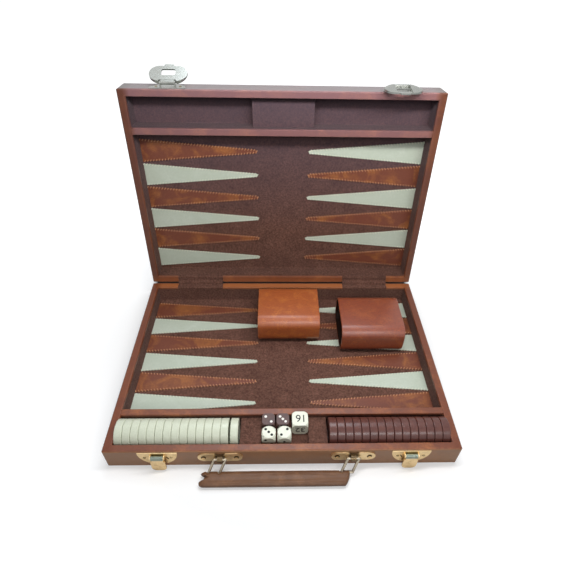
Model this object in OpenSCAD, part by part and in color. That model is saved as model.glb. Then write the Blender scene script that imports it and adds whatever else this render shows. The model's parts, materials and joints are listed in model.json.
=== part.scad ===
// Backgammon set in a folding attache case: a base tray and a hinged lid tray of covered wood,
// lined with felt, with two dice cups, four dice, a doubling cube and thirty checkers.
// The origin is the centre of the underside, +X to the right and +Y towards the hinges.

/* [Case] */
// Width of the case
case_w = 381; // [360:1:420]
// Depth of the case, from the hinge axis to the front face
case_d = 267.4; // [262:0.1:300]
// Height of each half, from its outer face to the plane where the rims meet
half_h = 31; // [29:0.5:36]
// Depth of each tray, from the rim plane to the felt
tray_depth = 25; // [23.5:0.5:26]
// Thickness of the left and right walls
wall_side = 9.2; // [8:0.1:12]
// Thickness of the front wall, which carries the handle and the latches
wall_front = 8.6; // [8:0.1:12]
// Distance from the hinge axis to the inside of the hinge wall
wall_hinge = 10.5; // [10:0.1:13]
// Thickness of the divider between the field and the trough
divider_t = 8.2; // [7:0.1:10]
// Width of the trough that holds the checkers, front to back
trough_d = 35.2; // [34.6:0.1:38]
// Angle of the open lid, measured from closed
lid_open = 96.27; // [60:0.01:180]
// Radius of the case's upright corners
corner_r = 2.5; // [1:0.1:5]
// Radius of the long edges of the outer faces
outer_edge_r = 3; // [1.5:0.1:3.5]
// Radius of the outer edge of the rims
rim_edge_r = 1.8; // [1:0.1:2]

/* [Covering and lining] */
// Thickness of the vinyl covering
vinyl_t = 0.8; // [0.6:0.1:1]
// Depth to which the vinyl turns in over the rims
vinyl_lip = 3.2; // [2.8:0.1:5]
// Thickness of the felt on the walls
felt_t = 0.8; // [0.6:0.1:0.8]
// Thickness of the padded felt on the floors
floor_felt_t = 1.8; // [1:0.1:2]
// Width of the felt flap that runs over each hinge
flap_w = 65.5; // [58:0.5:76]
// Thickness of the flap over the hinge leaf
flap_t = 1; // [0.6:0.1:1]

/* [Playing field] */
// Felt left free between the outermost points and the walls of the field, front and back
point_margin = 8.35; // [7:0.05:12]
// Felt left free between the wide ends of neighbouring points
point_gap = 2.6; // [1.5:0.1:6]
// Distance from the centre line of the case to the tips of the points
tip_x = 33.3; // [28:0.1:45]
// Radius of the tip of a point
tip_r = 2.2; // [1:0.1:3]
// Thickness of the sewn points
point_t = 0.7; // [0.5:0.1:1.2]
// Shift of the lid's points towards the hinges
lid_point_shift = 3.9; // [0:0.1:6]

/* [Tray blocks] */
// Gap between the felt-covered block in the base trough and the last checker of each row
block_gap = 1.3; // [0.8:0.1:6]
// Depth of the top of that block below the rim plane
dice_block_drop = 6.5; // [5:0.1:9]
// Width of the dice well in the block
well_w = 51.6; // [51.4:0.1:60]
// Depth of the well's floor below the rim plane
well_drop = 12; // [11:0.1:14]
// Width of the block in the lid trough
lid_block_w = 75; // [60:0.5:90]
// Depth of the top of the lid's block below the rim plane
lid_block_drop = 10; // [8:0.1:14]

/* [Hinges] */
// Distance from the left face of the case to the middle of the left hinge
left_hinge_inset = 70.5; // [62:0.5:80]
// Distance from the right face of the case to the middle of the right hinge
right_hinge_inset = 68.5; // [62:0.5:80]
// Length of a hinge along its axis
hinge_len = 50; // [40:0.5:56]
// Radius of the hinge knuckles
knuckle_r = 2.5; // [2.3:0.05:2.7]
// Radius of the hinge pins
hinge_pin_r = 1.1; // [0.8:0.05:1.3]
// Thickness of the hinge leaves
leaf_t = 1.2; // [0.9:0.05:1.3]

/* [Latches] */
// Distance from each side of the case to the latch there
latch_inset = 56; // [53:0.5:70]
// Diameter of the round end of a latch plate
latch_plate_d = 41.5; // [38:0.5:44]
// Thickness of a latch plate
latch_plate_t = 0.9; // [0.7:0.05:1]
// Width of the oval ring of a hasp
hasp_w = 44; // [40:0.5:48]
// Height of the oval ring of a hasp
hasp_h = 24; // [23:0.5:26]
// Thickness of the thick side lobes of a hasp, next to its hinge
hasp_t = 5; // [3:0.1:5]
// Thickness of the strip between the lobes
hasp_strip_t = 1.5; // [1.2:0.05:1.6]
// Width of the window in a hasp
window_w = 16.5; // [16.4:0.1:19]
// Height of the window in a hasp
window_h = 9.6; // [9:0.1:10]
// Angle of the left hasp, measured from closed
left_hasp_angle = 154; // [0:1:165]
// Angle of the right hasp, measured from closed
right_hasp_angle = 0; // [0:1:165]
// Length of a catch's tongue below its barrel
tongue_len = 22.5; // [16:0.5:23.5]

/* [Handle] */
// Distance between the centres of the two handle brackets
handle_pitch = 142; // [120:0.5:160]
// Length of a handle bracket
bracket_w = 47.5; // [40:0.5:52]
// Height of a handle bracket
bracket_h = 14.6; // [12:0.1:16]
// Radius of the wire of the handle rings
wire_r = 1.5; // [1.2:0.05:1.6]
// Width of a handle ring, between the centres of its legs
ring_w = 12; // [11:0.1:13]
// Length of the grip
grip_len = 162; // [158:0.5:166]
// Width of the grip, front to back
grip_w = 16.5; // [13:0.1:20]
// Thickness of the grip
grip_t = 9; // [8.6:0.1:9.4]

/* [Loose pieces] */
// Number of checkers of each colour
checkers = 15; // [12:1:15]
// Diameter of a checker
checker_d = 32; // [29:0.1:33]
// Thickness of a checker
checker_t = 8.5; // [7:0.1:8.5]
// Length of a dice cup
cup_len = 82.5; // [70:0.5:84]
// Width of a dice cup
cup_w = 74; // [66:0.5:78]
// Thickness of a dice cup, across its flat sides
cup_t = 45; // [41:0.5:46]
// Radius of the rounded sides of a dice cup
cup_r = 20; // [16:0.5:20]
// Thickness of the wall of a dice cup
cup_wall = 2.6; // [2:0.1:3.5]
// Edge of a brown die
brown_die = 14; // [12:0.1:14]
// Edge of an ivory die
ivory_die = 15; // [12:0.1:15]
// Edge of the doubling cube
cube_edge = 17.5; // [15:0.1:17.5]

/* [Hidden] */
function two_digits(i) = str(i < 10 ? "0" : "", i);
function checker_names(colour) = [for (i = [1:checkers]) str(colour, "_checker_", two_digits(i))];
FIXED_NODES = [
    "base_box", "base_covering", "base_lining", "dice_tray",
    "base_brown_points", "base_light_points", "base_hinge_leaves",
    "catch_plates", "handle_brackets",
    "lid_box", "lid_covering", "lid_lining", "lid_tray_block",
    "lid_brown_points", "lid_light_points", "lid_hinge_leaves", "hasp_plates"
];
MOVING_NODES = [
    "left_hasp", "right_hasp", "left_catch", "right_catch",
    "handle_rings", "handle_grip", "left_dice_cup", "right_dice_cup",
    "doubling_cube", "left_brown_die", "right_brown_die", "left_ivory_die", "right_ivory_die"
];
$fn = 64;

// Clearances
rim_gap = 0.2;
hinge_gap = 0.5;
glue_gap = 0.05;
seam_gap = 0.1;
felt_gap = 0.2;
rest_gap = 0.2;
run_gap = 0.05;
side_gap = 0.15;
over = 1;

// Places in a tray, seen from its hinge axis: y runs to the front as minus values, z down from the rim plane
back_y = -hinge_gap;
front_y = -case_d;
side_in_x = case_w / 2 - wall_side;
front_in_y = front_y + wall_front;
trough_back_y = front_in_y + trough_d;
field_front_y = trough_back_y + divider_t;
field_back_y = -wall_hinge;
field_mid_y = (field_front_y + field_back_y) / 2;
point_rows = 6;
point_pitch = (field_back_y - field_front_y - 2 * point_margin + point_gap) / point_rows;
point_w = point_pitch - point_gap;
trough_mid_y = (front_in_y + trough_back_y) / 2;
hinge_wall_t = wall_hinge - hinge_gap;
rim_z = -rim_gap;
felt_z = -tray_depth;
board_top_z = felt_z - floor_felt_t;
board_low_z = -half_h + vinyl_t;
rim_inner_r = 1;

// Hinge seats
leaf_low_z = -knuckle_r - 0.1;
leaf_top_z = leaf_low_z + leaf_t;
flap_low_z = leaf_top_z + seam_gap;
flap_back_y = -knuckle_r - 1.5;
leaf_back_y = -knuckle_r - 0.8;
leaf_front_y = -wall_hinge + vinyl_t + felt_t;
knuckles = 5;
left_hinge_x = case_w / 2 - left_hinge_inset;
right_hinge_x = case_w / 2 - right_hinge_inset;

// Latch seats
latch_mid_x = 1.5;
latch_pitch = case_w - 2 * latch_inset;
latch_plate_top = 2;
latch_plate_neck = 1.3;
catch_axis_z = -7;
catch_axis_out = 3.2;
barrel_r = 2.2;
barrel_w = 12.8;
latch_pin_r = 1.1;
ear_t = 1.3;
tongue_w = 15.4;
tongue_t = 1.7;
tongue_out = 0.4;
hasp_axis_z = -8.5;
hasp_axis_out = 5;
hasp_start = 1;
hasp_tab = 2.6;
hasp_tab_w = 11;
hasp_knuckle_r = 2;
hasp_knuckle_w = 15.4;
hasp_ear_room = 0.8;
hasp_inner = 2;
hasp_slope = 0.0625;
hasp_channel_w = window_w + 0.9;
lobe_far_t = 1.5;
lobe_r = 70;
window_start = 10;

// Handle seats
handle_mid_x = 3.4;
bracket_z = -11;
bracket_t = 1.2;
ring_axis_out = 3.4;
boss_r = 3.2;
boss_w = 5.8;
ring_slant = 6.6;
ring_reach = 8.2;
ring_drop = 14;
bend_extra = 0.1;
grip_eye_r = 3.3;
grip_eye_w = 5;
grip_mid_x = -5.5;
slot_w = 5.7;
slot_lean_w = 7.9;
slot_front = 5;
grip_back = 2.2;
grip_edge_r = 4;

// Loose pieces
cup_lift = felt_z + point_t + rest_gap;
left_cup_pos = [8.2, -60];
right_cup_pos = [118, -78.6];
checker_pitch = [checker_t + 0.19, checker_t + 0.3];
checker_start = 0.2;
last_checker_gap = 1.8;
well_mid_x = 1.5;
white_row = checker_start + (checkers - 1) * checker_pitch[0] + last_checker_gap + checker_t;
brown_row = checker_start + (checkers - 1) * checker_pitch[1] + checker_t;
block_left = -side_in_x + white_row + block_gap;
block_right = side_in_x - brown_row - block_gap;
dice_gap = 1.9;
dice_row_gap = 1.9;

// Colours
vinyl_colour = [0.45, 0.24, 0.18];
wood_colour = [0.72, 0.56, 0.38];
felt_colour = [0.27, 0.18, 0.15];
brown_colour = [0.48, 0.25, 0.16];
light_colour = [0.75, 0.79, 0.72];
brass_colour = [0.85, 0.72, 0.45];
nickel_colour = [0.72, 0.73, 0.71];
cup_colour = [0.62, 0.33, 0.18];
ivory_colour = [0.93, 0.93, 0.86];
dark_colour = [0.36, 0.17, 0.15];

// Puts a tray drawn from its hinge axis in place as the base
module on_base() {
    translate([0, case_d / 2, half_h]) children();
}

// Puts a tray drawn from its hinge axis in place as the lid, folded over and then opened
module on_lid() {
    translate([0, case_d / 2, half_h])
        rotate([-lid_open, 0, 0])
            mirror([0, 0, 1]) children();
}

// The part of a square corner that a radius takes away
module corner_cut(x, y, right, up, r) {
    translate([x, y])
        mirror([right ? 0 : 1, 0])
            mirror([0, up ? 0 : 1])
                difference() {
                    translate([-over, -over]) square(r + over);
                    translate([r, r]) circle(r);
                }
}

// A rectangle from corner a to corner b with all corners rounded
module round_rect(a, b, r) {
    difference() {
        translate(a) square(b - a);
        corner_cut(a.x, a.y, true, true, r);
        corner_cut(b.x, a.y, false, true, r);
        corner_cut(a.x, b.y, true, false, r);
        corner_cut(b.x, b.y, false, false, r);
    }
}

// A round bar between two points
module rod(a, b, r) {
    d = b - a;
    translate(a) rotate([0, acos(d.z / norm(d)), atan2(d.y, d.x)]) cylinder(h = norm(d), r = r);
}

// A round bar along X, centred on a point
module bar_x(at, len, r) {
    translate([at.x - len / 2, at.y, at.z]) rotate([0, 90, 0]) cylinder(h = len, r = r);
}

// A box between two corners
module box(a, b) {
    translate(a) cube(b - a);
}

// Section of a wall: x runs inwards from the outer face, y is the height
module wall_section(wall, inset) {
    low = [inset, -half_h + inset];
    high = [wall - inset, rim_z - inset];
    difference() {
        translate(low) square(high - low);
        corner_cut(low.x, low.y, true, true, outer_edge_r - inset);
        corner_cut(low.x, high.y, true, false, rim_edge_r - inset);
        corner_cut(high.x, high.y, false, false, rim_inner_r - inset);
    }
}

// Section of the vinyl over a wall: outside, rim, a turned-in lip and a turned-under edge
module vinyl_section(wall) {
    difference() {
        wall_section(wall, 0);
        wall_section(wall, vinyl_t);
        translate([wall - vinyl_t, -half_h - over]) square([vinyl_t + over, half_h + over - vinyl_lip]);
    }
}

// Runs a wall section along one side of the tray and mitres its ends
module wall_run(side) {
    run = case_d - hinge_gap;
    half = case_w / 2;
    intersection() {
        if (side == "front")
            translate([-half, front_y, 0]) rotate([90, 0, 90]) linear_extrude(case_w) children();
        else if (side == "back")
            translate([half, back_y, 0]) rotate([90, 0, -90]) linear_extrude(case_w) children();
        else if (side == "left")
            translate([-half, back_y, 0]) rotate([90, 0, 0]) linear_extrude(run) children();
        else
            translate([half, front_y, 0]) rotate([90, 0, 180]) linear_extrude(run) children();
        translate([0, 0, -half_h - over]) linear_extrude(half_h + 2 * over) mitre_plan(side);
    }
}

// Plan of one mitred wall, from its outer face past its inner face
module mitre_plan(side) {
    far = 1.4;
    half = case_w / 2;
    front_in = [wall_side, wall_front] * far;
    back_in = [wall_side, hinge_wall_t] * far;
    g = seam_gap / 2;
    if (side == "front")
        polygon([
            [-half + g, front_y], [half - g, front_y],
            [half - g - front_in.x, front_y + front_in.y], [-half + g + front_in.x, front_y + front_in.y]
        ]);
    else if (side == "back")
        polygon([
            [-half + g, back_y], [half - g, back_y],
            [half - g - back_in.x, back_y - back_in.y], [-half + g + back_in.x, back_y - back_in.y]
        ]);
    else
        mirror([side == "left" ? 0 : 1, 0])
            polygon([
                [-half, front_y + g], [-half, back_y - g],
                [-half + back_in.x, back_y - g - back_in.y], [-half + front_in.x, front_y + g + front_in.y]
            ]);
}

// Footprint of the tray with rounded upright corners, drawn in by an inset
module footprint(inset) {
    translate([0, 0, -half_h - over])
        linear_extrude(half_h + 2 * over)
            round_rect(
                [-case_w / 2 + inset, front_y + inset],
                [case_w / 2 - inset, back_y - inset],
                corner_r - inset
            );
}

function wall_of(side) =
    side == "front" ? wall_front
    : side == "back" ? hinge_wall_t
    : wall_side;

// Calls its children at each of the two hinges
module at_hinges() {
    translate([-left_hinge_x, 0, 0]) children();
    translate([right_hinge_x, 0, 0]) children();
}

// What a hinge and its flap need cut out of the hinge wall
module hinge_seat() {
    half = flap_w / 2 + seam_gap;
    box([-half, field_back_y - over, leaf_low_z - glue_gap], [half, over, over]);
    box([-half, field_back_y - over, -vinyl_lip - over], [half, field_back_y + vinyl_t + glue_gap, over]);
    bar_x([0, 0, 0], flap_w, knuckle_r + 0.4);
}

// Wooden tray: four mitred walls, a bottom board let in between them and the divider
module tray_box() {
    inset = vinyl_t + glue_gap;
    color(wood_colour) {
        for (side = ["front", "back", "left", "right"])
            difference() {
                intersection() {
                    wall_run(side) wall_section(wall_of(side), inset);
                    footprint(inset);
                }
                if (side == "back") at_hinges() hinge_seat();
            }
        board = vinyl_t - glue_gap;
        box(
            [-side_in_x - board, front_in_y - board, board_low_z + glue_gap],
            [side_in_x + board, field_back_y + board, board_top_z]
        );
        union() {
            box(
                [-side_in_x - board, trough_back_y + inset, board_top_z + glue_gap],
                [side_in_x + board, field_front_y - inset, -vinyl_lip - glue_gap]
            );
            box(
                [-side_in_x + glue_gap, trough_back_y + inset, board_top_z + over],
                [side_in_x - glue_gap, field_front_y - inset, rim_z - inset]
            );
        }
    }
}

// Vinyl covering: four mitred strips, the sheet on the large face and the cap of the divider
module tray_covering() {
    sheet = vinyl_t - seam_gap;
    color(vinyl_colour) {
        for (side = ["front", "back", "left", "right"])
            difference() {
                intersection() {
                    wall_run(side) vinyl_section(wall_of(side));
                    footprint(0);
                }
                if (side == "back") at_hinges() hinge_seat();
            }
        box(
            [-side_in_x - sheet, front_in_y - sheet, -half_h],
            [side_in_x + sheet, field_back_y + sheet, board_low_z]
        );
        translate([-side_in_x + glue_gap, trough_back_y, 0])
            rotate([90, 0, 90])
                linear_extrude(2 * (side_in_x - glue_gap)) divider_cap();
    }
}

// Section of the vinyl cap over the divider
module divider_cap() {
    difference() {
        translate([0, -vinyl_lip]) square([divider_t, vinyl_lip + rim_z]);
        translate([vinyl_t, -vinyl_lip - over])
            square([divider_t - 2 * vinyl_t, vinyl_lip + over + rim_z - vinyl_t]);
        corner_cut(0, rim_z, true, false, rim_inner_r);
        corner_cut(divider_t, rim_z, false, false, rim_inner_r);
    }
}

// Felt over the floor and the walls of one compartment
module felt_liner(y_low, y_high) {
    t = felt_t - glue_gap;
    difference() {
        box(
            [-side_in_x - t, y_low - t, board_top_z + glue_gap],
            [side_in_x + t, y_high + t, -vinyl_lip - seam_gap]
        );
        box([-side_in_x, y_low, felt_z], [side_in_x, y_high, 0]);
    }
}

// Lining of a tray: field and trough, with a flap of the same felt over each hinge leaf
module tray_lining() {
    t = felt_t - glue_gap;
    color(felt_colour) {
        union() {
            felt_liner(field_front_y, field_back_y);
            at_hinges() {
                half = flap_w / 2;
                top = flap_low_z + flap_t;
                box([-half, field_back_y, -vinyl_lip - over], [half, field_back_y + t, top]);
                box([-half, field_back_y, flap_low_z], [half, flap_back_y, top]);
            }
        }
        felt_liner(front_in_y, trough_back_y);
    }
}

// Plan of a point whose wide end lies at the left wall
module point_plan() {
    start = -side_in_x + felt_gap;
    centre = -tip_x - tip_r;
    run = centre - start;
    lean = asin(tip_r / norm([run, point_w / 2])) + atan2(point_w / 2, run);
    touch = [centre + tip_r * cos(90 - lean), tip_r * sin(90 - lean)];
    translate([centre, 0]) circle(tip_r);
    polygon([
        [start, -point_w / 2], [touch.x, -touch.y],
        [touch.x, touch.y], [start, point_w / 2]
    ]);
}

// Every second point of a tray, starting with the first or second from the hinges on the left
module points(first, shift) {
    for (i = [0:point_rows - 1])
        translate([0, field_mid_y + shift + ((point_rows - 1) / 2 - i) * point_pitch, felt_z])
            linear_extrude(point_t)
                mirror([(i + first) % 2, 0]) point_plan();
}

// Hinge leaves with their knuckles: the odd knuckles of the base or the even ones of the lid
module hinge_leaves(first, with_pin) {
    pitch = hinge_len / knuckles;
    color(brass_colour)
        at_hinges() {
            difference() {
                union() {
                    box([-hinge_len / 2, leaf_front_y, leaf_low_z], [hinge_len / 2, leaf_back_y, leaf_top_z]);
                    for (k = [first:2:knuckles - 1]) {
                        x = (k - (knuckles - 1) / 2) * pitch;
                        bar_x([x, 0, 0], pitch - side_gap, knuckle_r);
                        box(
                            [x - (pitch - side_gap) / 2, leaf_back_y - over, leaf_low_z + 0.1],
                            [x + (pitch - side_gap) / 2, 0, leaf_top_z]
                        );
                    }
                }
                bar_x([0, 0, 0], hinge_len + over, hinge_pin_r + run_gap);
            }
            if (with_pin) bar_x([0, 0, 0], hinge_len, hinge_pin_r);
        }
}

// Calls its children at the left or right latch
module at_latch(side) {
    translate([latch_mid_x + side * latch_pitch / 2, front_y, 0]) children();
}

// Half-round latch plate with a straight edge next to the rim and two ears that hold a pin
module latch_plate(axis_z, axis_out, pin_len, ear_r) {
    r = latch_plate_d / 2;
    rotate([90, 0, 0])
        linear_extrude(latch_plate_t)
            union() {
                intersection() {
                    translate([0, -latch_plate_top - latch_plate_neck]) circle(r);
                    translate([-r, -latch_plate_top - latch_plate_neck - r]) square([2 * r, r]);
                }
                translate([-r, -latch_plate_top - latch_plate_neck]) square([2 * r, latch_plate_neck]);
            }
    for (s = [-1, 1])
        translate([s * (pin_len / 2 + ear_t / 2 + side_gap), 0, 0]) {
            bar_x([0, -axis_out, axis_z], ear_t, ear_r);
            box([-ear_t / 2, -axis_out, axis_z - ear_r], [ear_t / 2, -latch_plate_t / 2, axis_z + ear_r]);
        }
    bar_x([0, -axis_out, axis_z], pin_len + 2 * side_gap + ear_t, latch_pin_r);
}

module catch_plates() {
    color(brass_colour)
        on_base()
            for (side = [-1, 1])
                at_latch(side) latch_plate(catch_axis_z, catch_axis_out, barrel_w, barrel_r);
}

module hasp_plates() {
    color(nickel_colour)
        on_lid()
            for (side = [-1, 1])
                at_latch(side) latch_plate(hasp_axis_z, hasp_axis_out, hasp_knuckle_w, hasp_knuckle_r);
}

// Turn-over catch: a barrel on its pin with a flat tongue that hangs in front of the plate
module catch_tongue() {
    front = -catch_axis_out - tongue_out - tongue_t;
    translate([0, 0, catch_axis_z])
        difference() {
            union() {
                bar_x([0, -catch_axis_out, 0], barrel_w, barrel_r);
                box([-barrel_w / 2, front, -barrel_r - over], [barrel_w / 2, front + tongue_t, 0]);
                translate([0, front + tongue_t, 0])
                    rotate([90, 0, 0])
                        linear_extrude(tongue_t)
                            round_rect([-tongue_w / 2, -tongue_len], [tongue_w / 2, -barrel_r - 0.5], 5);
            }
            bar_x([0, -catch_axis_out, 0], barrel_w + over, latch_pin_r + run_gap);
        }
}

module catch(side) {
    color(nickel_colour) on_base() at_latch(side) catch_tongue();
}

// Plan of a hasp's oval, drawn closed from its axis towards the other half
module hasp_oval() {
    round_rect([-hasp_w / 2, hasp_start], [hasp_w / 2, hasp_start + hasp_h], hasp_h / 2 - 0.01);
}

// Slab of a hasp under a plan: its inner face leans towards the case, its thickness goes from near to far
module hasp_slab(near, far) {
    end = hasp_start + hasp_h + hasp_tab;
    deep = hasp_inner + hasp_slope * end;
    intersection() {
        translate([0, deep, 0]) rotate([90, 0, 0]) linear_extrude(deep + 2 * hasp_t) children();
        translate([-hasp_w / 2, 0, 0])
            rotate([90, 0, 90])
                linear_extrude(hasp_w)
                    polygon([[hasp_inner, 0], [deep, end], [deep - far, end], [hasp_inner - near, 0]]);
    }
}

// Hasp: two thick lobes beside a thin strip that has the window and the tab, hung from a knuckle
module hasp_ring() {
    end = hasp_start + hasp_h;
    deep = hasp_inner + hasp_slope * (end + hasp_tab) + over;
    room = hasp_knuckle_w / 2 + side_gap + ear_t + hasp_ear_room;
    difference() {
        union() {
            difference() {
                union() {
                    hasp_slab(hasp_strip_t, hasp_strip_t)
                        union() {
                            hasp_oval();
                            round_rect([-hasp_tab_w / 2, end - over], [hasp_tab_w / 2, end + hasp_tab], 0.9);
                        }
                    intersection() {
                        hasp_slab(hasp_t, lobe_far_t)
                            difference() {
                                hasp_oval();
                                translate([-hasp_channel_w / 2, 0]) square([hasp_channel_w, end + over]);
                            }
                        translate([0, hasp_inner - hasp_t + lobe_r, 0]) cylinder(h = end + over, r = lobe_r);
                    }
                }
                box([-room, -hasp_t, -over], [room, deep, hasp_knuckle_r + hasp_ear_room]);
            }
            bar_x([0, 0, 0], hasp_knuckle_w, hasp_knuckle_r);
            box(
                [-hasp_knuckle_w / 2, hasp_inner - hasp_strip_t, 0],
                [hasp_knuckle_w / 2, hasp_inner, hasp_knuckle_r + hasp_ear_room + over]
            );
        }
        translate([0, deep, 0])
            rotate([90, 0, 0])
                linear_extrude(deep + 2 * hasp_t)
                    round_rect([-window_w / 2, window_start], [window_w / 2, window_start + window_h], 2.5);
        bar_x([0, 0, 0], hasp_knuckle_w + over, latch_pin_r + run_gap);
    }
}

module hasp(side, angle) {
    color(nickel_colour)
        on_lid()
            at_latch(side)
                translate([0, -hasp_axis_out, hasp_axis_z]) rotate([angle, 0, 0]) hasp_ring();
}

// Calls its children at the left or right handle bracket
module at_bracket(side) {
    translate([handle_mid_x + side * handle_pitch / 2, front_y, bracket_z]) children();
}

// Handle bracket: two round ears, a narrow waist and a boss that holds the ring
module handle_bracket() {
    waist = 2.2;
    ear = bracket_h / 2;
    difference() {
        union() {
            rotate([90, 0, 0])
                linear_extrude(bracket_t)
                    difference() {
                        round_rect([-bracket_w / 2, -ear], [bracket_w / 2, ear], ear - 0.01);
                        for (s = [-1, 1])
                            translate([0, s * (ear + bracket_w / 6 - waist)]) circle(bracket_w / 6);
                    }
            bar_x([0, -ring_axis_out, 0], boss_w, boss_r);
            box([-boss_w / 2, -ring_axis_out, -boss_r], [boss_w / 2, -bracket_t / 2, boss_r]);
        }
        bar_x([0, -ring_axis_out, 0], boss_w + over, wire_r + 0.1);
    }
}

module handle_brackets() {
    color(brass_colour) on_base() for (side = [-1, 1]) at_bracket(side) handle_bracket();
}

// Wire ring through a bracket: a top bar, two slanted legs and a bottom bar in the grip.
// The wire is a little thicker at the bends
module handle_ring() {
    $fn = 48;
    top = [0, -ring_axis_out, 0];
    low = top + [-ring_slant, -ring_reach, -ring_drop];
    half = [ring_w / 2, 0, 0];
    rod(top - half, top + half, wire_r);
    rod(low - half, low + half, wire_r);
    for (s = [-1, 1]) {
        rod(top + s * half, low + s * half, wire_r);
        translate(top + s * half) sphere(wire_r + bend_extra);
        translate(low + s * half) sphere(wire_r + bend_extra);
    }
}

module handle_rings() {
    color(nickel_colour) on_base() for (side = [-1, 1]) at_bracket(side) handle_ring();
}

// Padded grip with an eye at each end for the bottom bar of its ring
module handle_grip() {
    eye_z = bracket_z - ring_drop;
    eye_y = front_y - ring_axis_out - ring_reach;
    low_z = -half_h + rest_gap;
    x = handle_mid_x - ring_slant;
    color(vinyl_colour)
        on_base()
            difference() {
                union() {
                    translate([grip_mid_x - grip_len / 2, 0, 0])
                        rotate([90, 0, 90])
                            linear_extrude(grip_len)
                                round_rect(
                                    [eye_y + grip_back - grip_w, low_z],
                                    [eye_y + grip_back, low_z + grip_t],
                                    grip_edge_r
                                );
                    for (s = [-1, 1]) bar_x([x + s * handle_pitch / 2, eye_y, eye_z], grip_eye_w, grip_eye_r);
                }
                for (s = [-1, 1]) {
                    bar_x([x + s * handle_pitch / 2, eye_y, eye_z], ring_w + 4 * wire_r, wire_r + 0.1);
                    ring_slot(x + s * handle_pitch / 2, eye_y, eye_z);
                }
            }
}

// Room in the grip for the legs of a ring, beside the eye, with more on the side they lean to
module ring_slot(x, y, z) {
    low = wire_r + 0.6;
    eye = grip_eye_w / 2;
    translate([x, y, z]) {
        box([-eye - slot_w, -slot_front, -low], [-eye, grip_w, grip_t]);
        box([eye, -slot_front, -low], [eye + slot_lean_w, grip_w, grip_t]);
    }
}

// Block of the base trough with the dice well across it
module dice_tray() {
    top = -dice_block_drop;
    color(felt_colour)
        on_base()
            translate([0, trough_back_y - felt_gap, 0])
                rotate([90, 0, 0])
                    linear_extrude(trough_d - 2 * felt_gap)
                        difference() {
                            translate([block_left, felt_z + glue_gap])
                                square([block_right - block_left, tray_depth - dice_block_drop - glue_gap]);
                            translate([well_mid_x - well_w / 2, -well_drop]) square([well_w, well_drop]);
                            corner_cut(block_left, top, true, false, 1.2);
                            corner_cut(block_right, top, false, false, 1.2);
                        }
}

// Block in the middle of the lid trough
module lid_tray_block() {
    half = lid_block_w / 2;
    color(felt_colour)
        on_lid()
            translate([0, trough_back_y - felt_gap, 0])
                rotate([90, 0, 0])
                    linear_extrude(trough_d - 2 * felt_gap)
                        difference() {
                            translate([-half, felt_z + glue_gap])
                                square([lid_block_w, tray_depth - lid_block_drop - glue_gap]);
                            corner_cut(-half, -lid_block_drop, true, false, 1.2);
                            corner_cut(half, -lid_block_drop, false, false, 1.2);
                        }
}

// Dice cup lying on its side, with its mouth to the left
module dice_cup(pos) {
    color(cup_colour)
        on_base()
            translate([pos.x - cup_len / 2, pos.y, cup_lift + cup_t / 2])
                rotate([90, 0, 90])
                    difference() {
                        linear_extrude(cup_len) round_rect([-cup_w, -cup_t] / 2, [cup_w, cup_t] / 2, cup_r);
                        translate([0, 0, -over])
                            linear_extrude(cup_len + over - cup_wall)
                                round_rect(
                                    [-cup_w / 2 + cup_wall, -cup_t / 2 + cup_wall],
                                    [cup_w / 2 - cup_wall, cup_t / 2 - cup_wall],
                                    cup_r - cup_wall
                                );
                    }
}

// Die with its corners rounded by a sphere; roundness is the sphere's radius over the die's edge
module die(edge, roundness, left, back) {
    on_base()
        translate([left + edge / 2, back - edge / 2, -well_drop + rest_gap + edge / 2])
            intersection() {
                cube(edge, center = true);
                sphere(edge * roundness);
            }
}

// Checker: a disc with rounded edges and a shallow dish in each face
module checker_disc() {
    r = checker_d / 2;
    dish = 0.6;
    dish_r = r * 0.66;
    rotate([0, 90, 0])
        rotate_extrude()
            difference() {
                square([r, checker_t]);
                corner_cut(r, 0, false, true, 1);
                corner_cut(r, checker_t, false, false, 1);
                translate([-over, -over]) square([dish_r + over, dish + over]);
                translate([-over, checker_t - dish]) square([dish_r + over, dish + over]);
            }
}

// One checker of a row that starts at the left wall, or mirrored at the right wall
module checker(i, side) {
    pitch = side < 0 ? checker_pitch[0] : checker_pitch[1];
    apart = side < 0 && i == checkers ? last_checker_gap : 0;
    x = -side_in_x + checker_start + (i - 1) * pitch + apart;
    color(side < 0 ? ivory_colour : dark_colour)
        on_base()
            mirror([side < 0 ? 0 : 1, 0, 0])
                translate([x, trough_mid_y, felt_z + rest_gap + checker_d / 2]) checker_disc();
}

dice_left = well_mid_x - well_w / 2 + 0.6;
dice_back = trough_back_y - 0.3;
ivory_back = dice_back - brown_die - dice_row_gap;
cube_left = dice_left + 2 * ivory_die + 2 * dice_gap - 0.8;

on_base() tray_box();  // base_box
on_base() tray_covering();  // base_covering
on_base() tray_lining();  // base_lining
dice_tray();
color(brown_colour) on_base() points(0, 0);  // base_brown_points
color(light_colour) on_base() points(1, 0);  // base_light_points
on_base() hinge_leaves(0, false);  // base_hinge_leaves
catch_plates();
handle_brackets();
on_lid() tray_box();  // lid_box
on_lid() tray_covering();  // lid_covering
on_lid() tray_lining();  // lid_lining
lid_tray_block();
color(brown_colour) on_lid() points(1, lid_point_shift);  // lid_brown_points
color(light_colour) on_lid() points(0, lid_point_shift);  // lid_light_points
on_lid() hinge_leaves(1, true);  // lid_hinge_leaves
hasp_plates();
hasp(-1, left_hasp_angle);  // left_hasp
hasp(1, right_hasp_angle);  // right_hasp
catch(-1);  // left_catch
catch(1);  // right_catch
handle_rings();
handle_grip();
dice_cup(left_cup_pos);  // left_dice_cup
dice_cup(right_cup_pos);  // right_dice_cup
color(ivory_colour) die(cube_edge, 0.76, cube_left, dice_back);  // doubling_cube
color(dark_colour) die(brown_die, 0.76, dice_left, dice_back);  // left_brown_die
color(dark_colour) die(brown_die, 0.76, dice_left + brown_die + dice_gap, dice_back);  // right_brown_die
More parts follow.
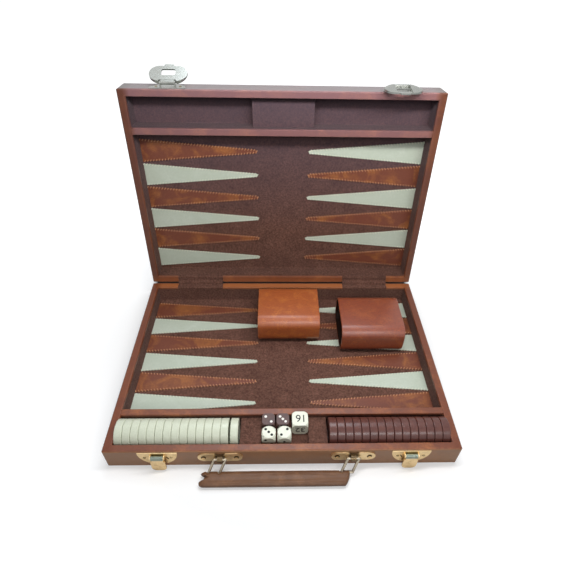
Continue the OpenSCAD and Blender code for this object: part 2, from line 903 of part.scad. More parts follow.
color(ivory_colour) die(ivory_die, 0.68, dice_left, ivory_back);  // left_ivory_die
color(ivory_colour) die(ivory_die, 0.68, dice_left + ivory_die + dice_gap, ivory_back);  // right_ivory_die
for (i = [1:checkers])
    checker(i, -1);
for (i = [1:checkers])
    checker(i, 1);
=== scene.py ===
"""Backgammon set in a folding attache case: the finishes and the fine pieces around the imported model.

Run as a script. Sizes of pieces are millimetres in a tray's own frame, seen from its hinge axis:
x to the right, y to the front as minus values, z down from the rim plane as minus values.
Places inside a finish are metres in the shared frame, with the lid open as packed.
"""

import json
import math
import random

import bmesh
import bpy
from mathutils import Matrix, Quaternion, Vector, noise


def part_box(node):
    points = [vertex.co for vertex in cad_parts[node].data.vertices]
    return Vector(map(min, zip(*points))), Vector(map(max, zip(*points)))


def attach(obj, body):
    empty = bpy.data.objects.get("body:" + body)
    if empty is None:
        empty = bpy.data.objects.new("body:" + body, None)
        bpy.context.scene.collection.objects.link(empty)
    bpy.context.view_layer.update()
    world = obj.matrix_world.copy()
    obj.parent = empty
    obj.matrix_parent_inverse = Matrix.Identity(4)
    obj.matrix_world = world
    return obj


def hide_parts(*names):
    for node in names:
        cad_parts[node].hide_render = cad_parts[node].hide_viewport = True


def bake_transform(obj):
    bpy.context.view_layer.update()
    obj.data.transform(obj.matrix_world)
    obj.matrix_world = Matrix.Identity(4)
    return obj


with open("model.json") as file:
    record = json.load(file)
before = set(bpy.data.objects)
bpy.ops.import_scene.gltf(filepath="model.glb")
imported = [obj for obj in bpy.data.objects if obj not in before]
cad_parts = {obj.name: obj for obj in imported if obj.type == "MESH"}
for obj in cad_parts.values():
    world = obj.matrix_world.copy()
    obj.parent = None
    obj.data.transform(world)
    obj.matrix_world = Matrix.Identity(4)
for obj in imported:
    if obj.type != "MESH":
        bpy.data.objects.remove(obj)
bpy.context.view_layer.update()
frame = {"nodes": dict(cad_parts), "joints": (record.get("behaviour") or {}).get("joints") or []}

bl_info = {
    "name": "Backgammon Case",
    "version": (1, 0, 0),
    "blender": (4, 5, 0),
    "location": "View3D > Sidebar > Backgammon",
    "description": "Finishes and fine pieces of a backgammon set in a folding case",
    "category": "Object",
}

MM = 0.001
HINGE = next(j for j in frame["joints"] if j["name"] == "lid_hinge")
AXIS = Vector(HINGE["pos_m"])
OPEN = -math.radians(HINGE["range_deg"][0])
# From a tray's millimetres to the shared frame: the lid is the base's tray mirrored and turned open
BASE = Matrix.Translation(AXIS) @ Matrix.Diagonal((MM, MM, MM, 1))
LID = Matrix.Translation(AXIS) @ Matrix.Rotation(-OPEN, 4, "X") @ Matrix.Diagonal((MM, MM, -MM, 1))
TRAYS = {"base": BASE, "lid": LID}

# A tray: half its inner width, the ends of its field and trough, its front face, the felt's floor and top
SIDE = 181.3
FIELD_BACK = -10.5
FIELD_FRONT = -215.4
TROUGH_BACK = -223.6
FRONT_IN = -258.8
FRONT = -267.4
FELT_Z = -25.0
LIP_Z = -3.3
# Thickness of the lining, and the tray as a box: half its sizes and the height of its middle
LINING = 0.7
TRAY_HALF = (190.5, 133.5, 15.4)
TRAY_MIDDLE_Z = -15.6
# Middles of the hinges, latches, brackets and rings, and half the width of a flap and of a ring
HINGE_X = (-120.0, 122.0)
FLAP_HALF = 32.7
LATCH_X = (-133.0, 136.0)
BRACKET_X = (-67.6, 74.4)
RING_X = (-74.2, 67.8)
RING_HALF = 6.0
# Points: from one to the next, half the wide end, the tip, the rise above the felt's floor, and how much
# closer to the hinges those of the lid lie
POINT_PITCH = 31.8
POINT_HALF = 14.6
POINT_TIP = -33.3
POINT_RISE = 0.7
LID_POINTS_SHIFT = 3.9
# Cups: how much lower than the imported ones, the round of their corners, their wall
CUP_SINK = 4.5
CUP_CORNER = 14.0
CUP_WALL = 2.6


def tone(red, green, blue):
    """A colour as the display shows it, 0 to 255, as the linear values that a shader takes."""
    shares = (red / 255, green / 255, blue / 255)
    return tuple(s / 12.92 if s <= 10 / 255 else ((s + 0.055) / 1.055) ** 2.4 for s in shares)


def rgba(colour):
    return (*colour[:3], 1.0)


# Settings

def colour_setting(name, description, default):
    return bpy.props.FloatVectorProperty(
        name=name, description=description, default=default, subtype="COLOR", size=3, min=0, max=1
    )


def length_setting(name, description, millimetres):
    return bpy.props.FloatProperty(
        name=name, description=description, default=millimetres * MM, unit="LENGTH", subtype="DISTANCE", min=0
    )


def power_setting(name, description, watts):
    return bpy.props.FloatProperty(name=name, description=description, default=watts, unit="POWER", min=0)


class BoardColours(bpy.types.PropertyGroup):
    """Colours of the case and of what lies in it."""

    felt: colour_setting("Felt", "Felt of the lining and the blocks", tone(92, 61, 51))
    felt_fibre: colour_setting("Felt fibres", "Pale fibres on top of the felt", tone(128, 98, 86))
    # Painted light: a pale cool veil on the felt towards the far edge of the lid
    felt_painted_veil: colour_setting("Felt under painted veil", "Felt near the far edge of the lid", tone(86, 76, 88))
    # Painted shadow: two dark bands across the felt of the open lid
    felt_painted_shadow: colour_setting("Dusky felt", "Two dark bands across the lid", tone(32, 22, 26))
    vinyl: colour_setting("Case vinyl", "Main colour of the covering", tone(122, 68, 45))
    vinyl_dark: colour_setting("Case vinyl, dark", "Dark clouds of the covering", tone(90, 50, 38))
    # Pale clouds of the covering, and painted light on the hinge rims of both halves
    vinyl_pale_and_rim_light: colour_setting("Case vinyl, pale", "Pale clouds of the covering", tone(166, 100, 58))
    vinyl_worn: colour_setting("Case vinyl, worn", "Rubbed edges of the covering", tone(170, 112, 78))
    # Painted light: a pale cool veil on the covering towards the far edge of the lid
    vinyl_painted_veil: colour_setting("Vinyl under painted veil", "Covering near the far edge of the lid", tone(140, 108, 118))
    # Painted shade on the lid's side rims, more on the left
    lid_side_shade: colour_setting("Lid sides", "Covering on the side rims of the lid", tone(84, 42, 24))
    # Painted sheen on the lid's outer top edge
    lid_top_sheen: colour_setting("Lid top", "Covering on the outer top edge of the lid", tone(140, 146, 146))
    # A deeper tone with painted shade on the base's side rims, more on the left
    vinyl_side_tone_and_shade: colour_setting("Side rims", "Covering on the side rims of the base", tone(104, 46, 16))
    # Painted sheen on the base's front face
    vinyl_front_sheen: colour_setting("Case vinyl, front", "Covering on the base's front face", tone(172, 127, 86))
    brown_point: colour_setting("Brown points", "Main colour of the brown points", tone(120, 68, 50))
    light_point: colour_setting("Light points", "Colour of the light points", tone(190, 199, 183))
    cup: colour_setting("Dice cups", "Main colour of the dice cups", tone(174, 91, 39))
    ivory: colour_setting("Ivory plastic", "White checkers, two dice and the cube", tone(214, 219, 198))
    brown_plastic: colour_setting("Brown plastic", "Brown checkers and two dice", tone(98, 58, 50))
    thread: colour_setting("Thread", "Stitches round the brown points", tone(214, 154, 112))
    pale_thread: colour_setting("Pale thread", "Stitches round the light points", tone(240, 240, 216))
    brass: colour_setting("Brass plate", "Latches and brackets on the front", tone(246, 216, 164))
    nickel: colour_setting("Nickel plate", "Hasps, barrels and rings", tone(188, 190, 184))
    grip: colour_setting("Grip", "Leather of the handle", tone(112, 78, 54))


class BoardSizes(bpy.types.PropertyGroup):
    """Sizes of the fine pieces."""

    stitch_pitch: length_setting("Stitch pitch", "Distance from one stitch to the next", 3.8)
    stitch_width: length_setting("Stitch width", "Reach of a stitch across a point's edge", 2.8)
    thread_radius: length_setting("Thread radius", "Radius of the sewing thread", 0.44)
    felt_fold: length_setting("Felt fold", "Radius of the felt where it turns up a wall", 1.3)
    flap_thickness: length_setting("Flap thickness", "Felt that runs over a hinge", 0.9)
    cup_edge: length_setting("Cup edge", "Rounding of a cup's rims", 0.9)
    pip_radius: length_setting("Pip radius", "Radius of a pip on a die", 1.5)
    digit_size: length_setting("Digit size", "Height of the cube's numbers", 12.5)
    screw_radius: length_setting("Screw radius", "Head of a latch screw", 1.7)
    rivet_radius: length_setting("Rivet radius", "Head of a bracket rivet", 1.75)


class StageSettings(bpy.types.PropertyGroup):
    """Light and background of the picture."""

    tube_power: power_setting("Tube lamp", "Power of the long lamp above the case", 1.9)
    front_power: power_setting("Front lamp", "Power of the broad lamp in front", 3.8)
    back_power: power_setting("Back lamp", "Power of the cool lamp above and behind", 5.2)
    room_light: bpy.props.FloatProperty(
        name="Room light", description="Strength of the even light from all round", default=0.12, min=0, max=1
    )


# Shader helpers

class Tree:
    """Adds the nodes of one material or node group and links them."""

    def __init__(self, tree):
        self.tree = tree
        self.count = 0

    def node(self, kind, inputs=None, **settings):
        made = self.tree.nodes.new(kind)
        made.location = (190 * (self.count % 8), -260 * (self.count // 8))
        self.count += 1
        for key, value in settings.items():
            setattr(made, key, value)
        for key, value in (inputs or {}).items():
            if isinstance(value, bpy.types.NodeSocket):
                self.link(value, made.inputs[key])
            else:
                made.inputs[key].default_value = value
        return made

    def link(self, output, socket):
        self.tree.links.new(output, socket)

    def axes(self, vector):
        """The x, y and z of a vector."""
        return self.node("ShaderNodeSeparateXYZ", {0: vector}).outputs

    def noise(self, vector, scale, detail=3.0, roughness=0.5, distortion=0.0):
        made = self.node("ShaderNodeTexNoise", {
            "Vector": vector, "Scale": scale, "Detail": detail, "Roughness": roughness,
            "Distortion": distortion,
        })
        return made.outputs["Fac"]

    def cells(self, vector, scale, feature="F1"):
        made = self.node("ShaderNodeTexVoronoi", {"Vector": vector, "Scale": scale}, feature=feature)
        return made.outputs["Distance"]

    def spread(self, value, low, high, to_low=0.0, to_high=1.0):
        made = self.node("ShaderNodeMapRange", {
            "Value": value, "From Min": low, "From Max": high, "To Min": to_low, "To Max": to_high
        })
        return made.outputs["Result"]

    def math(self, operation, first, second=0.0):
        made = self.node("ShaderNodeMath", {0: first, 1: second}, operation=operation)
        return made.outputs[0]

    def mix(self, factor, first, second, blend="MIX"):
        sockets = {0: factor, 6: first, 7: second}
        return self.node("ShaderNodeMix", sockets, data_type="RGBA", blend_type=blend).outputs[2]

    def scaled(self, vector, factors):
        made = self.node("ShaderNodeVectorMath", {0: vector, 1: factors}, operation="MULTIPLY")
        return made.outputs[0]


def shader_group(name, inputs, outputs):
    """An empty node group with named sockets, and its Tree, input and output nodes."""
    group = bpy.data.node_groups.new(name, "ShaderNodeTree")
    kinds = {"VECTOR": "NodeSocketVector", "COLOUR": "NodeSocketColor", "VALUE": "NodeSocketFloat"}
    for label, kind, default in inputs:
        socket = group.interface.new_socket(name=label, in_out="INPUT", socket_type=kinds[kind])
        if default is not None:
            socket.default_value = default
    for label, kind in outputs:
        group.interface.new_socket(name=label, in_out="OUTPUT", socket_type=kinds[kind])
    tree = Tree(group)
    return group, tree, tree.node("NodeGroupInput").outputs, tree.node("NodeGroupOutput").inputs


def leather_cloth_group():
    """Mottled leather cloth: clouds of three tones, rubbed places and a pebbled grain."""
    group, tree, given, out = shader_group("Leather cloth", [
        ("Vector", "VECTOR", None), ("Main", "COLOUR", (0.2, 0.08, 0.05, 1)),
        ("Dark", "COLOUR", (0.1, 0.04, 0.03, 1)), ("Pale", "COLOUR", (0.3, 0.12, 0.05, 1)),
        ("Worn", "COLOUR", (0.5, 0.3, 0.2, 1)), ("Wear", "VALUE", 0.0),
        ("Cloud scale", "VALUE", 30.0), ("Grain scale", "VALUE", 1100.0), ("Veins", "VALUE", 0.4),
    ], [("Colour", "COLOUR"), ("Roughness", "VALUE"), ("Height", "VALUE")])
    vector, cloud = given["Vector"], given["Cloud scale"]
    broad = tree.noise(vector, cloud, 4.0, 0.6, 0.9)
    drawn_out = tree.scaled(vector, (1.0, 1.9, 1.4))
    veins = tree.noise(drawn_out, tree.math("MULTIPLY", cloud, 5.0), 5.0, 0.65, 2.0)
    fine = tree.noise(vector, tree.math("MULTIPLY", cloud, 22.0), 2.0, 0.6)
    colour = tree.mix(tree.spread(broad, 0.47, 0.66, 0.0, 0.85), given["Main"], given["Pale"])
    vein = tree.math("MULTIPLY", tree.spread(veins, 0.40, 0.60, 1.0, 0.0), given["Veins"])
    colour = tree.mix(vein, colour, given["Dark"])
    colour = tree.mix(tree.spread(fine, 0.35, 0.7, 0.0, 0.28), colour, given["Dark"])
    scuff = tree.math("MULTIPLY", given["Wear"], tree.spread(veins, 0.3, 0.62, 0.15, 1.0))
    colour = tree.mix(scuff, colour, given["Worn"])
    pebbles = tree.cells(vector, given["Grain scale"], "SMOOTH_F1")
    creases = tree.noise(vector, tree.math("MULTIPLY", given["Grain scale"], 0.35), 4.0, 0.6, 0.4)
    tree.link(colour, out["Colour"])
    rough = tree.spread(veins, 0.35, 0.65, 0.34, 0.46)
    rough = tree.math("ADD", rough, tree.spread(pebbles, 0.0, 0.6, -0.04, 0.05))
    tree.link(rough, out["Roughness"])
    height = tree.math("ADD", tree.math("MULTIPLY", pebbles, 0.6), tree.math("MULTIPLY", creases, 0.5))
    tree.link(height, out["Height"])
    return group


def felt_group():
    """Pressed wool felt: short loose fibres over a brushed nap."""
    group, tree, given, out = shader_group("Pressed felt", [
        ("Vector", "VECTOR", None), ("Felt", "COLOUR", (0.1, 0.05, 0.04, 1)),
        ("Fibre", "COLOUR", (0.3, 0.2, 0.15, 1)), ("Fibre scale", "VALUE", 850.0),
    ], [("Colour", "COLOUR"), ("Height", "VALUE")])
    vector, scale = given["Vector"], given["Fibre scale"]
    nap = tree.noise(vector, 38.0, 3.0, 0.55, 0.6)
    clumps = tree.noise(vector, 430.0, 2.0, 0.75, 0.4)
    wisps = tree.noise(tree.scaled(vector, (1.0, 2.4, 2.4)), scale, 3.0, 0.7, 1.2)
    cross = tree.noise(tree.scaled(vector, (2.4, 1.0, 1.0)), tree.math("MULTIPLY", scale, 0.9), 3.0, 0.7, 1.2)
    fuzz = tree.noise(vector, tree.math("MULTIPLY", scale, 2.6), 2.0, 0.6)
    colour = tree.mix(tree.spread(wisps, 0.48, 0.72, 0.0, 0.6), given["Felt"], given["Fibre"])
    colour = tree.mix(tree.spread(cross, 0.5, 0.75, 0.0, 0.5), colour, given["Fibre"])
    shade = tree.spread(tree.math("ADD", nap, tree.math("MULTIPLY", fuzz, 0.5)), 0.5, 1.05, 0.78, 1.16)
    shade = tree.math("MULTIPLY", shade, tree.spread(clumps, 0.32, 0.68, 0.62, 1.42))
    dusky = tree.node("ShaderNodeVectorMath", {0: colour, "Scale": shade}, operation="SCALE")
    tree.link(dusky.outputs[0], out["Colour"])
    height = tree.math("ADD", tree.math("ADD", wisps, clumps), tree.math("ADD", cross, fuzz))
    tree.link(height, out["Height"])
    return group


def metal_group():
    """Plated sheet metal: fine brushing, dull patches and small dark specks."""
    group, tree, given, out = shader_group("Plated metal", [
        ("Vector", "VECTOR", None), ("Plate", "COLOUR", (0.8, 0.7, 0.5, 1)),
        ("Dull", "COLOUR", (0.4, 0.3, 0.2, 1)), ("Polish", "VALUE", 0.25), ("Dullness", "VALUE", 0.35),
    ], [("Colour", "COLOUR"), ("Roughness", "VALUE"), ("Height", "VALUE")])
    vector = given["Vector"]
    patches = tree.noise(vector, 160.0, 4.0, 0.62, 0.5)
    specks = tree.noise(vector, 900.0, 3.0, 0.7)
    brushed = tree.noise(tree.scaled(vector, (180.0, 2600.0, 2600.0)), 1.0, 3.0, 0.6)
    dull = tree.math("MULTIPLY", tree.spread(patches, 0.42, 0.72), given["Dullness"])
    colour = tree.mix(dull, given["Plate"], given["Dull"])
    colour = tree.mix(tree.spread(specks, 0.62, 0.8, 0.0, 0.5), colour, given["Dull"])
    tree.link(colour, out["Colour"])
    rough = tree.math("ADD", given["Polish"], tree.math("MULTIPLY", dull, 0.35))
    rough = tree.math("ADD", rough, tree.spread(brushed, 0.3, 0.7, -0.04, 0.07))
    tree.link(rough, out["Roughness"])
    tree.link(tree.math("ADD", brushed, tree.math("MULTIPLY", specks, 0.8)), out["Height"])
    return group


def plastic_group():
    """Moulded plastic: faint marbling, handling marks and a little dust."""
    group, tree, given, out = shader_group("Moulded plastic", [
        ("Vector", "VECTOR", None), ("Main", "COLOUR", (0.6, 0.6, 0.5, 1)),
        ("Swirl", "COLOUR", (0.5, 0.5, 0.4, 1)), ("Swirl amount", "VALUE", 0.5), ("Gloss", "VALUE", 0.22),
    ], [("Colour", "COLOUR"), ("Roughness", "VALUE"), ("Height", "VALUE")])
    vector = given["Vector"]
    swirl = tree.noise(vector, 70.0, 4.0, 0.6, 2.6)
    marks = tree.noise(tree.scaled(vector, (1.0, 5.0, 1.0)), 420.0, 3.0, 0.65)
    amount = tree.math("MULTIPLY", tree.spread(swirl, 0.36, 0.66), given["Swirl amount"])
    colour = tree.mix(amount, given["Main"], given["Swirl"])
    colour = tree.mix(tree.spread(marks, 0.6, 0.85, 0.0, 0.25), colour, given["Swirl"])
    tree.link(colour, out["Colour"])
    rough = tree.math("ADD", given["Gloss"], tree.spread(marks, 0.45, 0.8, 0.0, 0.14))
    tree.link(rough, out["Roughness"])
    tree.link(marks, out["Height"])
    return group


def edge_group():
    """Mask of the edges of a box that is centred on the vector's origin."""
    group, tree, given, out = shader_group("Box edges", [
        ("Vector", "VECTOR", None), ("Half size", "VECTOR", (0.1, 0.1, 0.1)), ("Band", "VALUE", 0.003),
    ], [("Mask", "VALUE")])
    size = tree.node("ShaderNodeVectorMath", {0: given["Vector"]}, operation="ABSOLUTE").outputs[0]
    depth = tree.node("ShaderNodeVectorMath", {0: size, 1: given["Half size"]}, operation="SUBTRACT")
    x, y, z = tree.axes(depth.outputs[0])
    middle = tree.math("MINIMUM", tree.math("MAXIMUM", x, y), z)
    second = tree.math("MAXIMUM", tree.math("MINIMUM", x, y), middle)
    closeness = tree.math("DIVIDE", second, given["Band"])
    tree.link(tree.spread(closeness, -1.0, 0.0), out["Mask"])
    return group


GROUPS = {}


def group(name):
    """The shared node group of that name, made once."""
    makers = {
        "leather": leather_cloth_group, "felt": felt_group, "metal": metal_group,
        "plastic": plastic_group, "edges": edge_group,
    }
    if name not in GROUPS:
        GROUPS[name] = makers[name]()
    return GROUPS[name]


class Finish:
    """One material: a Principled shader, the object's coordinates and the shared groups that feed it."""

    def __init__(self, name, **shader):
        self.material = bpy.data.materials.new(name)
        self.material.use_nodes = True
        self.tree = Tree(self.material.node_tree)
        self.shader = self.material.node_tree.nodes["Principled BSDF"]
        for label, value in shader.items():
            self.shader.inputs[label.replace("_", " ")].default_value = value
        place = self.tree.node("ShaderNodeTexCoord")
        self.vector = place.outputs["Object"]

    def moved(self, location=(0, 0, 0), rotation=(0, 0, 0)):
        """The coordinates turned, then moved, by a Mapping node."""
        return self.tree.node(
            "ShaderNodeMapping", {"Vector": self.vector, "Location": location, "Rotation": rotation}
        ).outputs[0]

    def group(self, name, inputs):
        return self.tree.node("ShaderNodeGroup", inputs, node_tree=group(name)).outputs

    def feed(self, colour=None, roughness=None, height=None, strength=0.2, distance=0.0002):
        """Links colour, roughness and a bump to the shader."""
        if colour is not None:
            self.tree.link(colour, self.shader.inputs["Base Color"])
        if roughness is not None:
            self.tree.link(roughness, self.shader.inputs["Roughness"])
        if height is not None:
            inputs = {"Strength": strength, "Distance": distance, "Height": height}
            bump = self.tree.node("ShaderNodeBump", inputs)
            self.tree.link(bump.outputs[0], self.shader.inputs["Normal"])
        return self.material


def colours():
    return bpy.context.scene.board_colours


def sizes():
    return bpy.context.scene.board_sizes


def tray_vector(finish, body):
    """Coordinates centred on one half of the case and square to it, and that half's size."""
    centre = Vector((0, (FRONT - 0.5) / 2, TRAY_MIDDLE_Z)) * MM
    if body == "base":
        location, rotation = -(AXIS + centre), (0, 0, 0)
    else:
        turn = Matrix.Rotation(OPEN, 3, "X")
        location, rotation = -(turn @ AXIS) - Vector((centre.x, centre.y, -centre.z)), (OPEN, 0, 0)
    return finish.moved(location, rotation), tuple(half * MM for half in TRAY_HALF)


def vinyl_finish(name, body):
    """Covering of one half of the case: mottled vinyl, rubbed along the edges and the corners, under a
    painted veil of light near the lid's far edge and with painted light and shade on some rims.
    """
    c = colours()
    finish = Finish(name, Specular_IOR_Level=0.45, Coat_Weight=0.2, Coat_Roughness=0.34)
    tree = finish.tree
    place, half = tray_vector(finish, body)
    mask = finish.group("edges", {"Vector": place, "Half size": half, "Band": 0.0032})["Mask"]
    patches = tree.spread(tree.noise(place, 26.0, 4.0, 0.65), 0.42, 0.7, 0.08, 0.85)
    made = finish.group("leather", {
        "Vector": place, "Main": rgba(c.vinyl), "Dark": rgba(c.vinyl_dark), "Pale": rgba(c.vinyl_pale_and_rim_light),
        "Worn": rgba(c.vinyl_worn), "Wear": tree.math("MULTIPLY", mask, patches),
        "Cloud scale": 24.0, "Grain scale": 1200.0,
    })
    # Painted veil of light towards the lid's far edge, little on its sides, then painted light and shade on
    # the rims
    colour = painted_veil(finish, made["Colour"], c.vinyl_painted_veil, 0.55, 0.1)
    for amount, tint in rim_light_and_shade(tree, finish.vector, body):
        colour = tree.mix(amount, colour, rgba(tint))
    return finish.feed(colour, made["Roughness"], made["Height"], 0.35, 0.00025)


def rim_light_and_shade(tree, vector, body):
    """Where the covering of one half has painted light and shade, with a deeper tone on the base's side rims,
    as masks with their colours. Places are in metres.
    """
    c = colours()
    x, y, z = tree.axes(vector)
    sides = tree.spread(tree.math("ABSOLUTE", x), 0.176, 0.184)
    if body == "lid":
        # Painted shade on the side rims, more on the left
        lid_sides_shade = tree.math("MULTIPLY", sides, tree.spread(x, -0.05, 0.05, 0.8, 0.65))
        # Painted light on the hinge-side rim
        hinge_edge_light = tree.spread(z, 0.032, 0.046, 0.5, 0.0)
        outer_back = tree.spread(y, 0.163, 0.167)
        # Painted sheen along the outer top edge
        top_edge_sheen = tree.math("MULTIPLY", outer_back, tree.spread(z, 0.288, 0.292, 0.0, 0.5))
        return [(lid_sides_shade, c.lid_side_shade), (hinge_edge_light, c.vinyl_pale_and_rim_light), (top_edge_sheen, c.lid_top_sheen)]
    # Painted light on the hinge rim
    hinge_edge_light = tree.spread(y, 0.118, 0.126, 0.0, 0.9)
    # Deeper tone and painted shade on the side rims, more on the left
    base_sides_tone_and_shade = tree.math("MULTIPLY", sides, tree.spread(x, -0.05, 0.05, 0.75, 0.35))
    # Painted sheen on the front face
    front_face_sheen = tree.spread(y, -0.1336, -0.1326, 0.6, 0.0)
    return [(hinge_edge_light, c.vinyl_pale_and_rim_light), (base_sides_tone_and_shade, c.vinyl_side_tone_and_shade), (front_face_sheen, c.vinyl_front_sheen)]


def leather_finish(
    name, main, dark, pale, cloud, worn=None, band=None, grain=1100.0, bump=0.3, veins=0.35, shine=None,
    **shader
):
    """Leather cloth. band is (centre, half size, width) of a box with rubbed edges.

    shine is (low, high), the heights between which a clear coat grows from none to full.
    """
    finish = Finish(name, **shader)
    if shine:
        height = finish.tree.axes(finish.vector)["Z"]
        coat = finish.tree.spread(height, *shine)
        finish.tree.link(coat, finish.shader.inputs["Coat Weight"])
    inputs = {
        "Vector": finish.vector, "Main": rgba(main), "Dark": rgba(dark), "Pale": rgba(pale),
        "Worn": rgba(worn or pale), "Wear": 0.0, "Cloud scale": cloud, "Grain scale": grain, "Veins": veins,
    }
    if band:
        centre, half, width = band
        place = finish.moved(-Vector(centre))
        inputs["Wear"] = finish.group("edges", {"Vector": place, "Half size": half, "Band": width})["Mask"]
    made = finish.group("leather", inputs)
    return finish.feed(made["Colour"], made["Roughness"], made["Height"], bump, 0.0002)


def painted_veil(finish, colour, veil, amount, sides=1.0):
    """The colour under a painted veil of light: paler and cooler towards the far edge of the open lid, less
    so along its sides.
    """
    tree = finish.tree
    axes = tree.axes(finish.vector)
    upwards = tree.spread(axes["Z"], 0.10, 0.29, 0.0, amount)
    inwards = tree.spread(tree.math("ABSOLUTE", axes["X"]), 0.176, 0.186, 1.0, sides)
    return tree.mix(tree.math("MULTIPLY", upwards, inwards), colour, rgba(veil))


def felt_finish(name):
    """Felt, with two painted shadows across the open lid: dark bands below its outer edge and below its
    divider.
    """
    c = colours()
    bands, soft = ((0.2355, 0.2478), (0.2800, 0.2915)), 0.001
    finish = Finish(name, Roughness=0.95, Specular_IOR_Level=0.12, Sheen_Weight=0.05, Sheen_Roughness=0.6)
    made = finish.group("felt", {"Vector": finish.vector, "Felt": rgba(c.felt), "Fibre": rgba(c.felt_fibre)})
    # Painted veil of light: the felt grows paler and cooler towards the lid's far edge
    colour = painted_veil(finish, made["Colour"], c.felt_painted_veil, 0.7)
    tree = finish.tree
    height = tree.axes(finish.vector)["Z"]
    # Painted shadows: two dark bands where the open lid's outer edge and its divider cast shade on the felt
    for low, high in bands:
        above = tree.spread(height, low - soft, low + soft)
        below = tree.spread(height, high - soft, high + soft, 0.5, 0.0)
        colour = tree.mix(tree.math("MULTIPLY", above, below), colour, rgba(c.felt_painted_shadow))
    return finish.feed(colour, None, made["Height"], 0.55, 0.0003)


def metal_finish(name, plate, dull, polish=0.25, dullness=0.35, strength=0.08):
    finish = Finish(name, Metallic=1.0)
    made = plating(finish, plate, dull, polish, dullness)
    return finish.feed(made["Colour"], made["Roughness"], made["Height"], strength, 0.0001)


def plating(finish, plate, dull, polish, dullness):
    """Colour, roughness and height of plated metal, dull in patches."""
    return finish.group("metal", {
        "Vector": finish.vector, "Plate": rgba(plate), "Dull": rgba(dull),
        "Polish": polish, "Dullness": dullness,
    })


def bracket_finish(name, plate):
    """Handle bracket: brass-plated wings, with painted shade darkening the eye between them."""
    finish = Finish(name, Metallic=1.0)
    tree = finish.tree
    x = tree.axes(finish.vector)["X"]
    offsets = [tree.math("ABSOLUTE", tree.math("SUBTRACT", x, middle * MM)) for middle in BRACKET_X]
    # Painted shade on the eye between the wings
    eye = tree.spread(tree.math("MINIMUM", *offsets), 0.0042, 0.0062, 0.85, 0.0)
    made = plating(finish, plate, tone(140, 112, 74), 0.3, 0.35)
    colour = tree.mix(eye, made["Colour"], rgba(tone(74, 58, 46)))
    return finish.feed(colour, made["Roughness"], made["Height"], 0.08, 0.0001)


def catch_finish(name, plate, barrel):
    """Catch: a nickel barrel above a brass-plated tongue."""
    finish = Finish(name, Metallic=1.0)
    tree = finish.tree
    barrel_part = tree.spread(tree.axes(finish.vector)["Z"], 0.0212, 0.0216)
    brass = plating(finish, plate, tone(150, 118, 74), 0.3, 0.4)
    nickel = plating(finish, barrel, tone(96, 106, 96), 0.24, 0.6)
    colour = tree.mix(barrel_part, brass["Colour"], nickel["Colour"])
    return finish.feed(colour, brass["Roughness"], brass["Height"], 0.08, 0.0001)


def plastic_finish(name, main, swirl, amount, gloss, coat=0.0):
    finish = Finish(name, Specular_IOR_Level=0.5, Coat_Weight=coat, Coat_Roughness=0.12)
    made = finish.group("plastic", {
        "Vector": finish.vector, "Main": rgba(main), "Swirl": rgba(swirl),
        "Swirl amount": amount, "Gloss": gloss,
    })
    return finish.feed(made["Colour"], made["Roughness"], made["Height"], 0.04, 0.00008)


def wood_finish(name):
    """Softwood of the box: long grain with darker rings."""
    finish = Finish(name, Roughness=0.6)
    tree = finish.tree
    long = tree.scaled(finish.vector, (6.0, 60.0, 60.0))
    rings = tree.noise(long, 2.2, 4.0, 0.6, 1.6)
    pores = tree.noise(tree.scaled(finish.vector, (90.0, 1800.0, 1800.0)), 1.0, 2.0, 0.6)
    colour = tree.mix(tree.spread(rings, 0.35, 0.65), rgba(tone(196, 158, 110)), rgba(tone(156, 112, 70)))
    colour = tree.mix(tree.spread(pores, 0.55, 0.75, 0.0, 0.5), colour, rgba(tone(110, 74, 44)))
    return finish.feed(colour, tree.spread(rings, 0.3, 0.7, 0.5, 0.7), pores, 0.2, 0.0002)


def thread_finish(name, colour):
    """Sewing thread: a soft lay of fibres, with painted shade in the hollows of its twist."""
    finish = Finish(name, Roughness=0.75, Sheen_Weight=0.15)
    tree = finish.tree
    twist = tree.noise(finish.vector, 2600.0, 2.0, 0.6)
    worn = tree.noise(finish.vector, 60.0, 3.0, 0.6)
    dark = tuple(c * 0.5 for c in colour[:3])
    made = tree.mix(tree.spread(twist, 0.4, 0.7, 0.6, 0.0), rgba(colour), rgba(dark))
    made = tree.mix(tree.spread(worn, 0.45, 0.7, 0.0, 0.45), made, rgba(dark))
    return finish.feed(made, None, twist, 0.5, 0.0001)


def ink_finish(name, colour, roughness=0.5):
    """Painted pips and numbers, thinner where they are worn."""
    finish = Finish(name, Specular_IOR_Level=0.4)
    tree = finish.tree
    worn = tree.noise(finish.vector, 900.0, 3.0, 0.65)
    thin = tuple(c * 0.7 + 0.05 for c in colour[:3])
    made = tree.mix(tree.spread(worn, 0.55, 0.8, 0.0, 0.6), rgba(colour), rgba(thin))
    return finish.feed(made, tree.spread(worn, 0.3, 0.8, roughness, roughness + 0.15), worn, 0.1, 0.0001)


# Piece helpers

def finish_node(name, material):
    """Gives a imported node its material, in every place it has for one."""
    node = frame["nodes"][name]
    if not node.material_slots:
        node.data.materials.append(material)
    for place in node.material_slots:
        place.material = material


def make_piece(bm, name, materials, matrix, body, smooth=35.0):
    """Turns a bmesh into a piece that rides on a body. After a mirroring matrix its faces are reversed."""
    if matrix is not None:
        bm.transform(matrix)
        if matrix.determinant() < 0:
            bmesh.ops.reverse_faces(bm, faces=bm.faces[:])
    mesh = bpy.data.meshes.new(name)
    bm.to_mesh(mesh)
    bm.free()
    for material in materials:
        mesh.materials.append(material)
    mesh.polygons.foreach_set("use_smooth", [True] * len(mesh.polygons))
    mesh.set_sharp_from_angle(angle=math.radians(smooth))
    piece = bpy.data.objects.new(name, mesh)
    bpy.context.scene.collection.objects.link(piece)
    if body:
        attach(piece, body)
    return piece


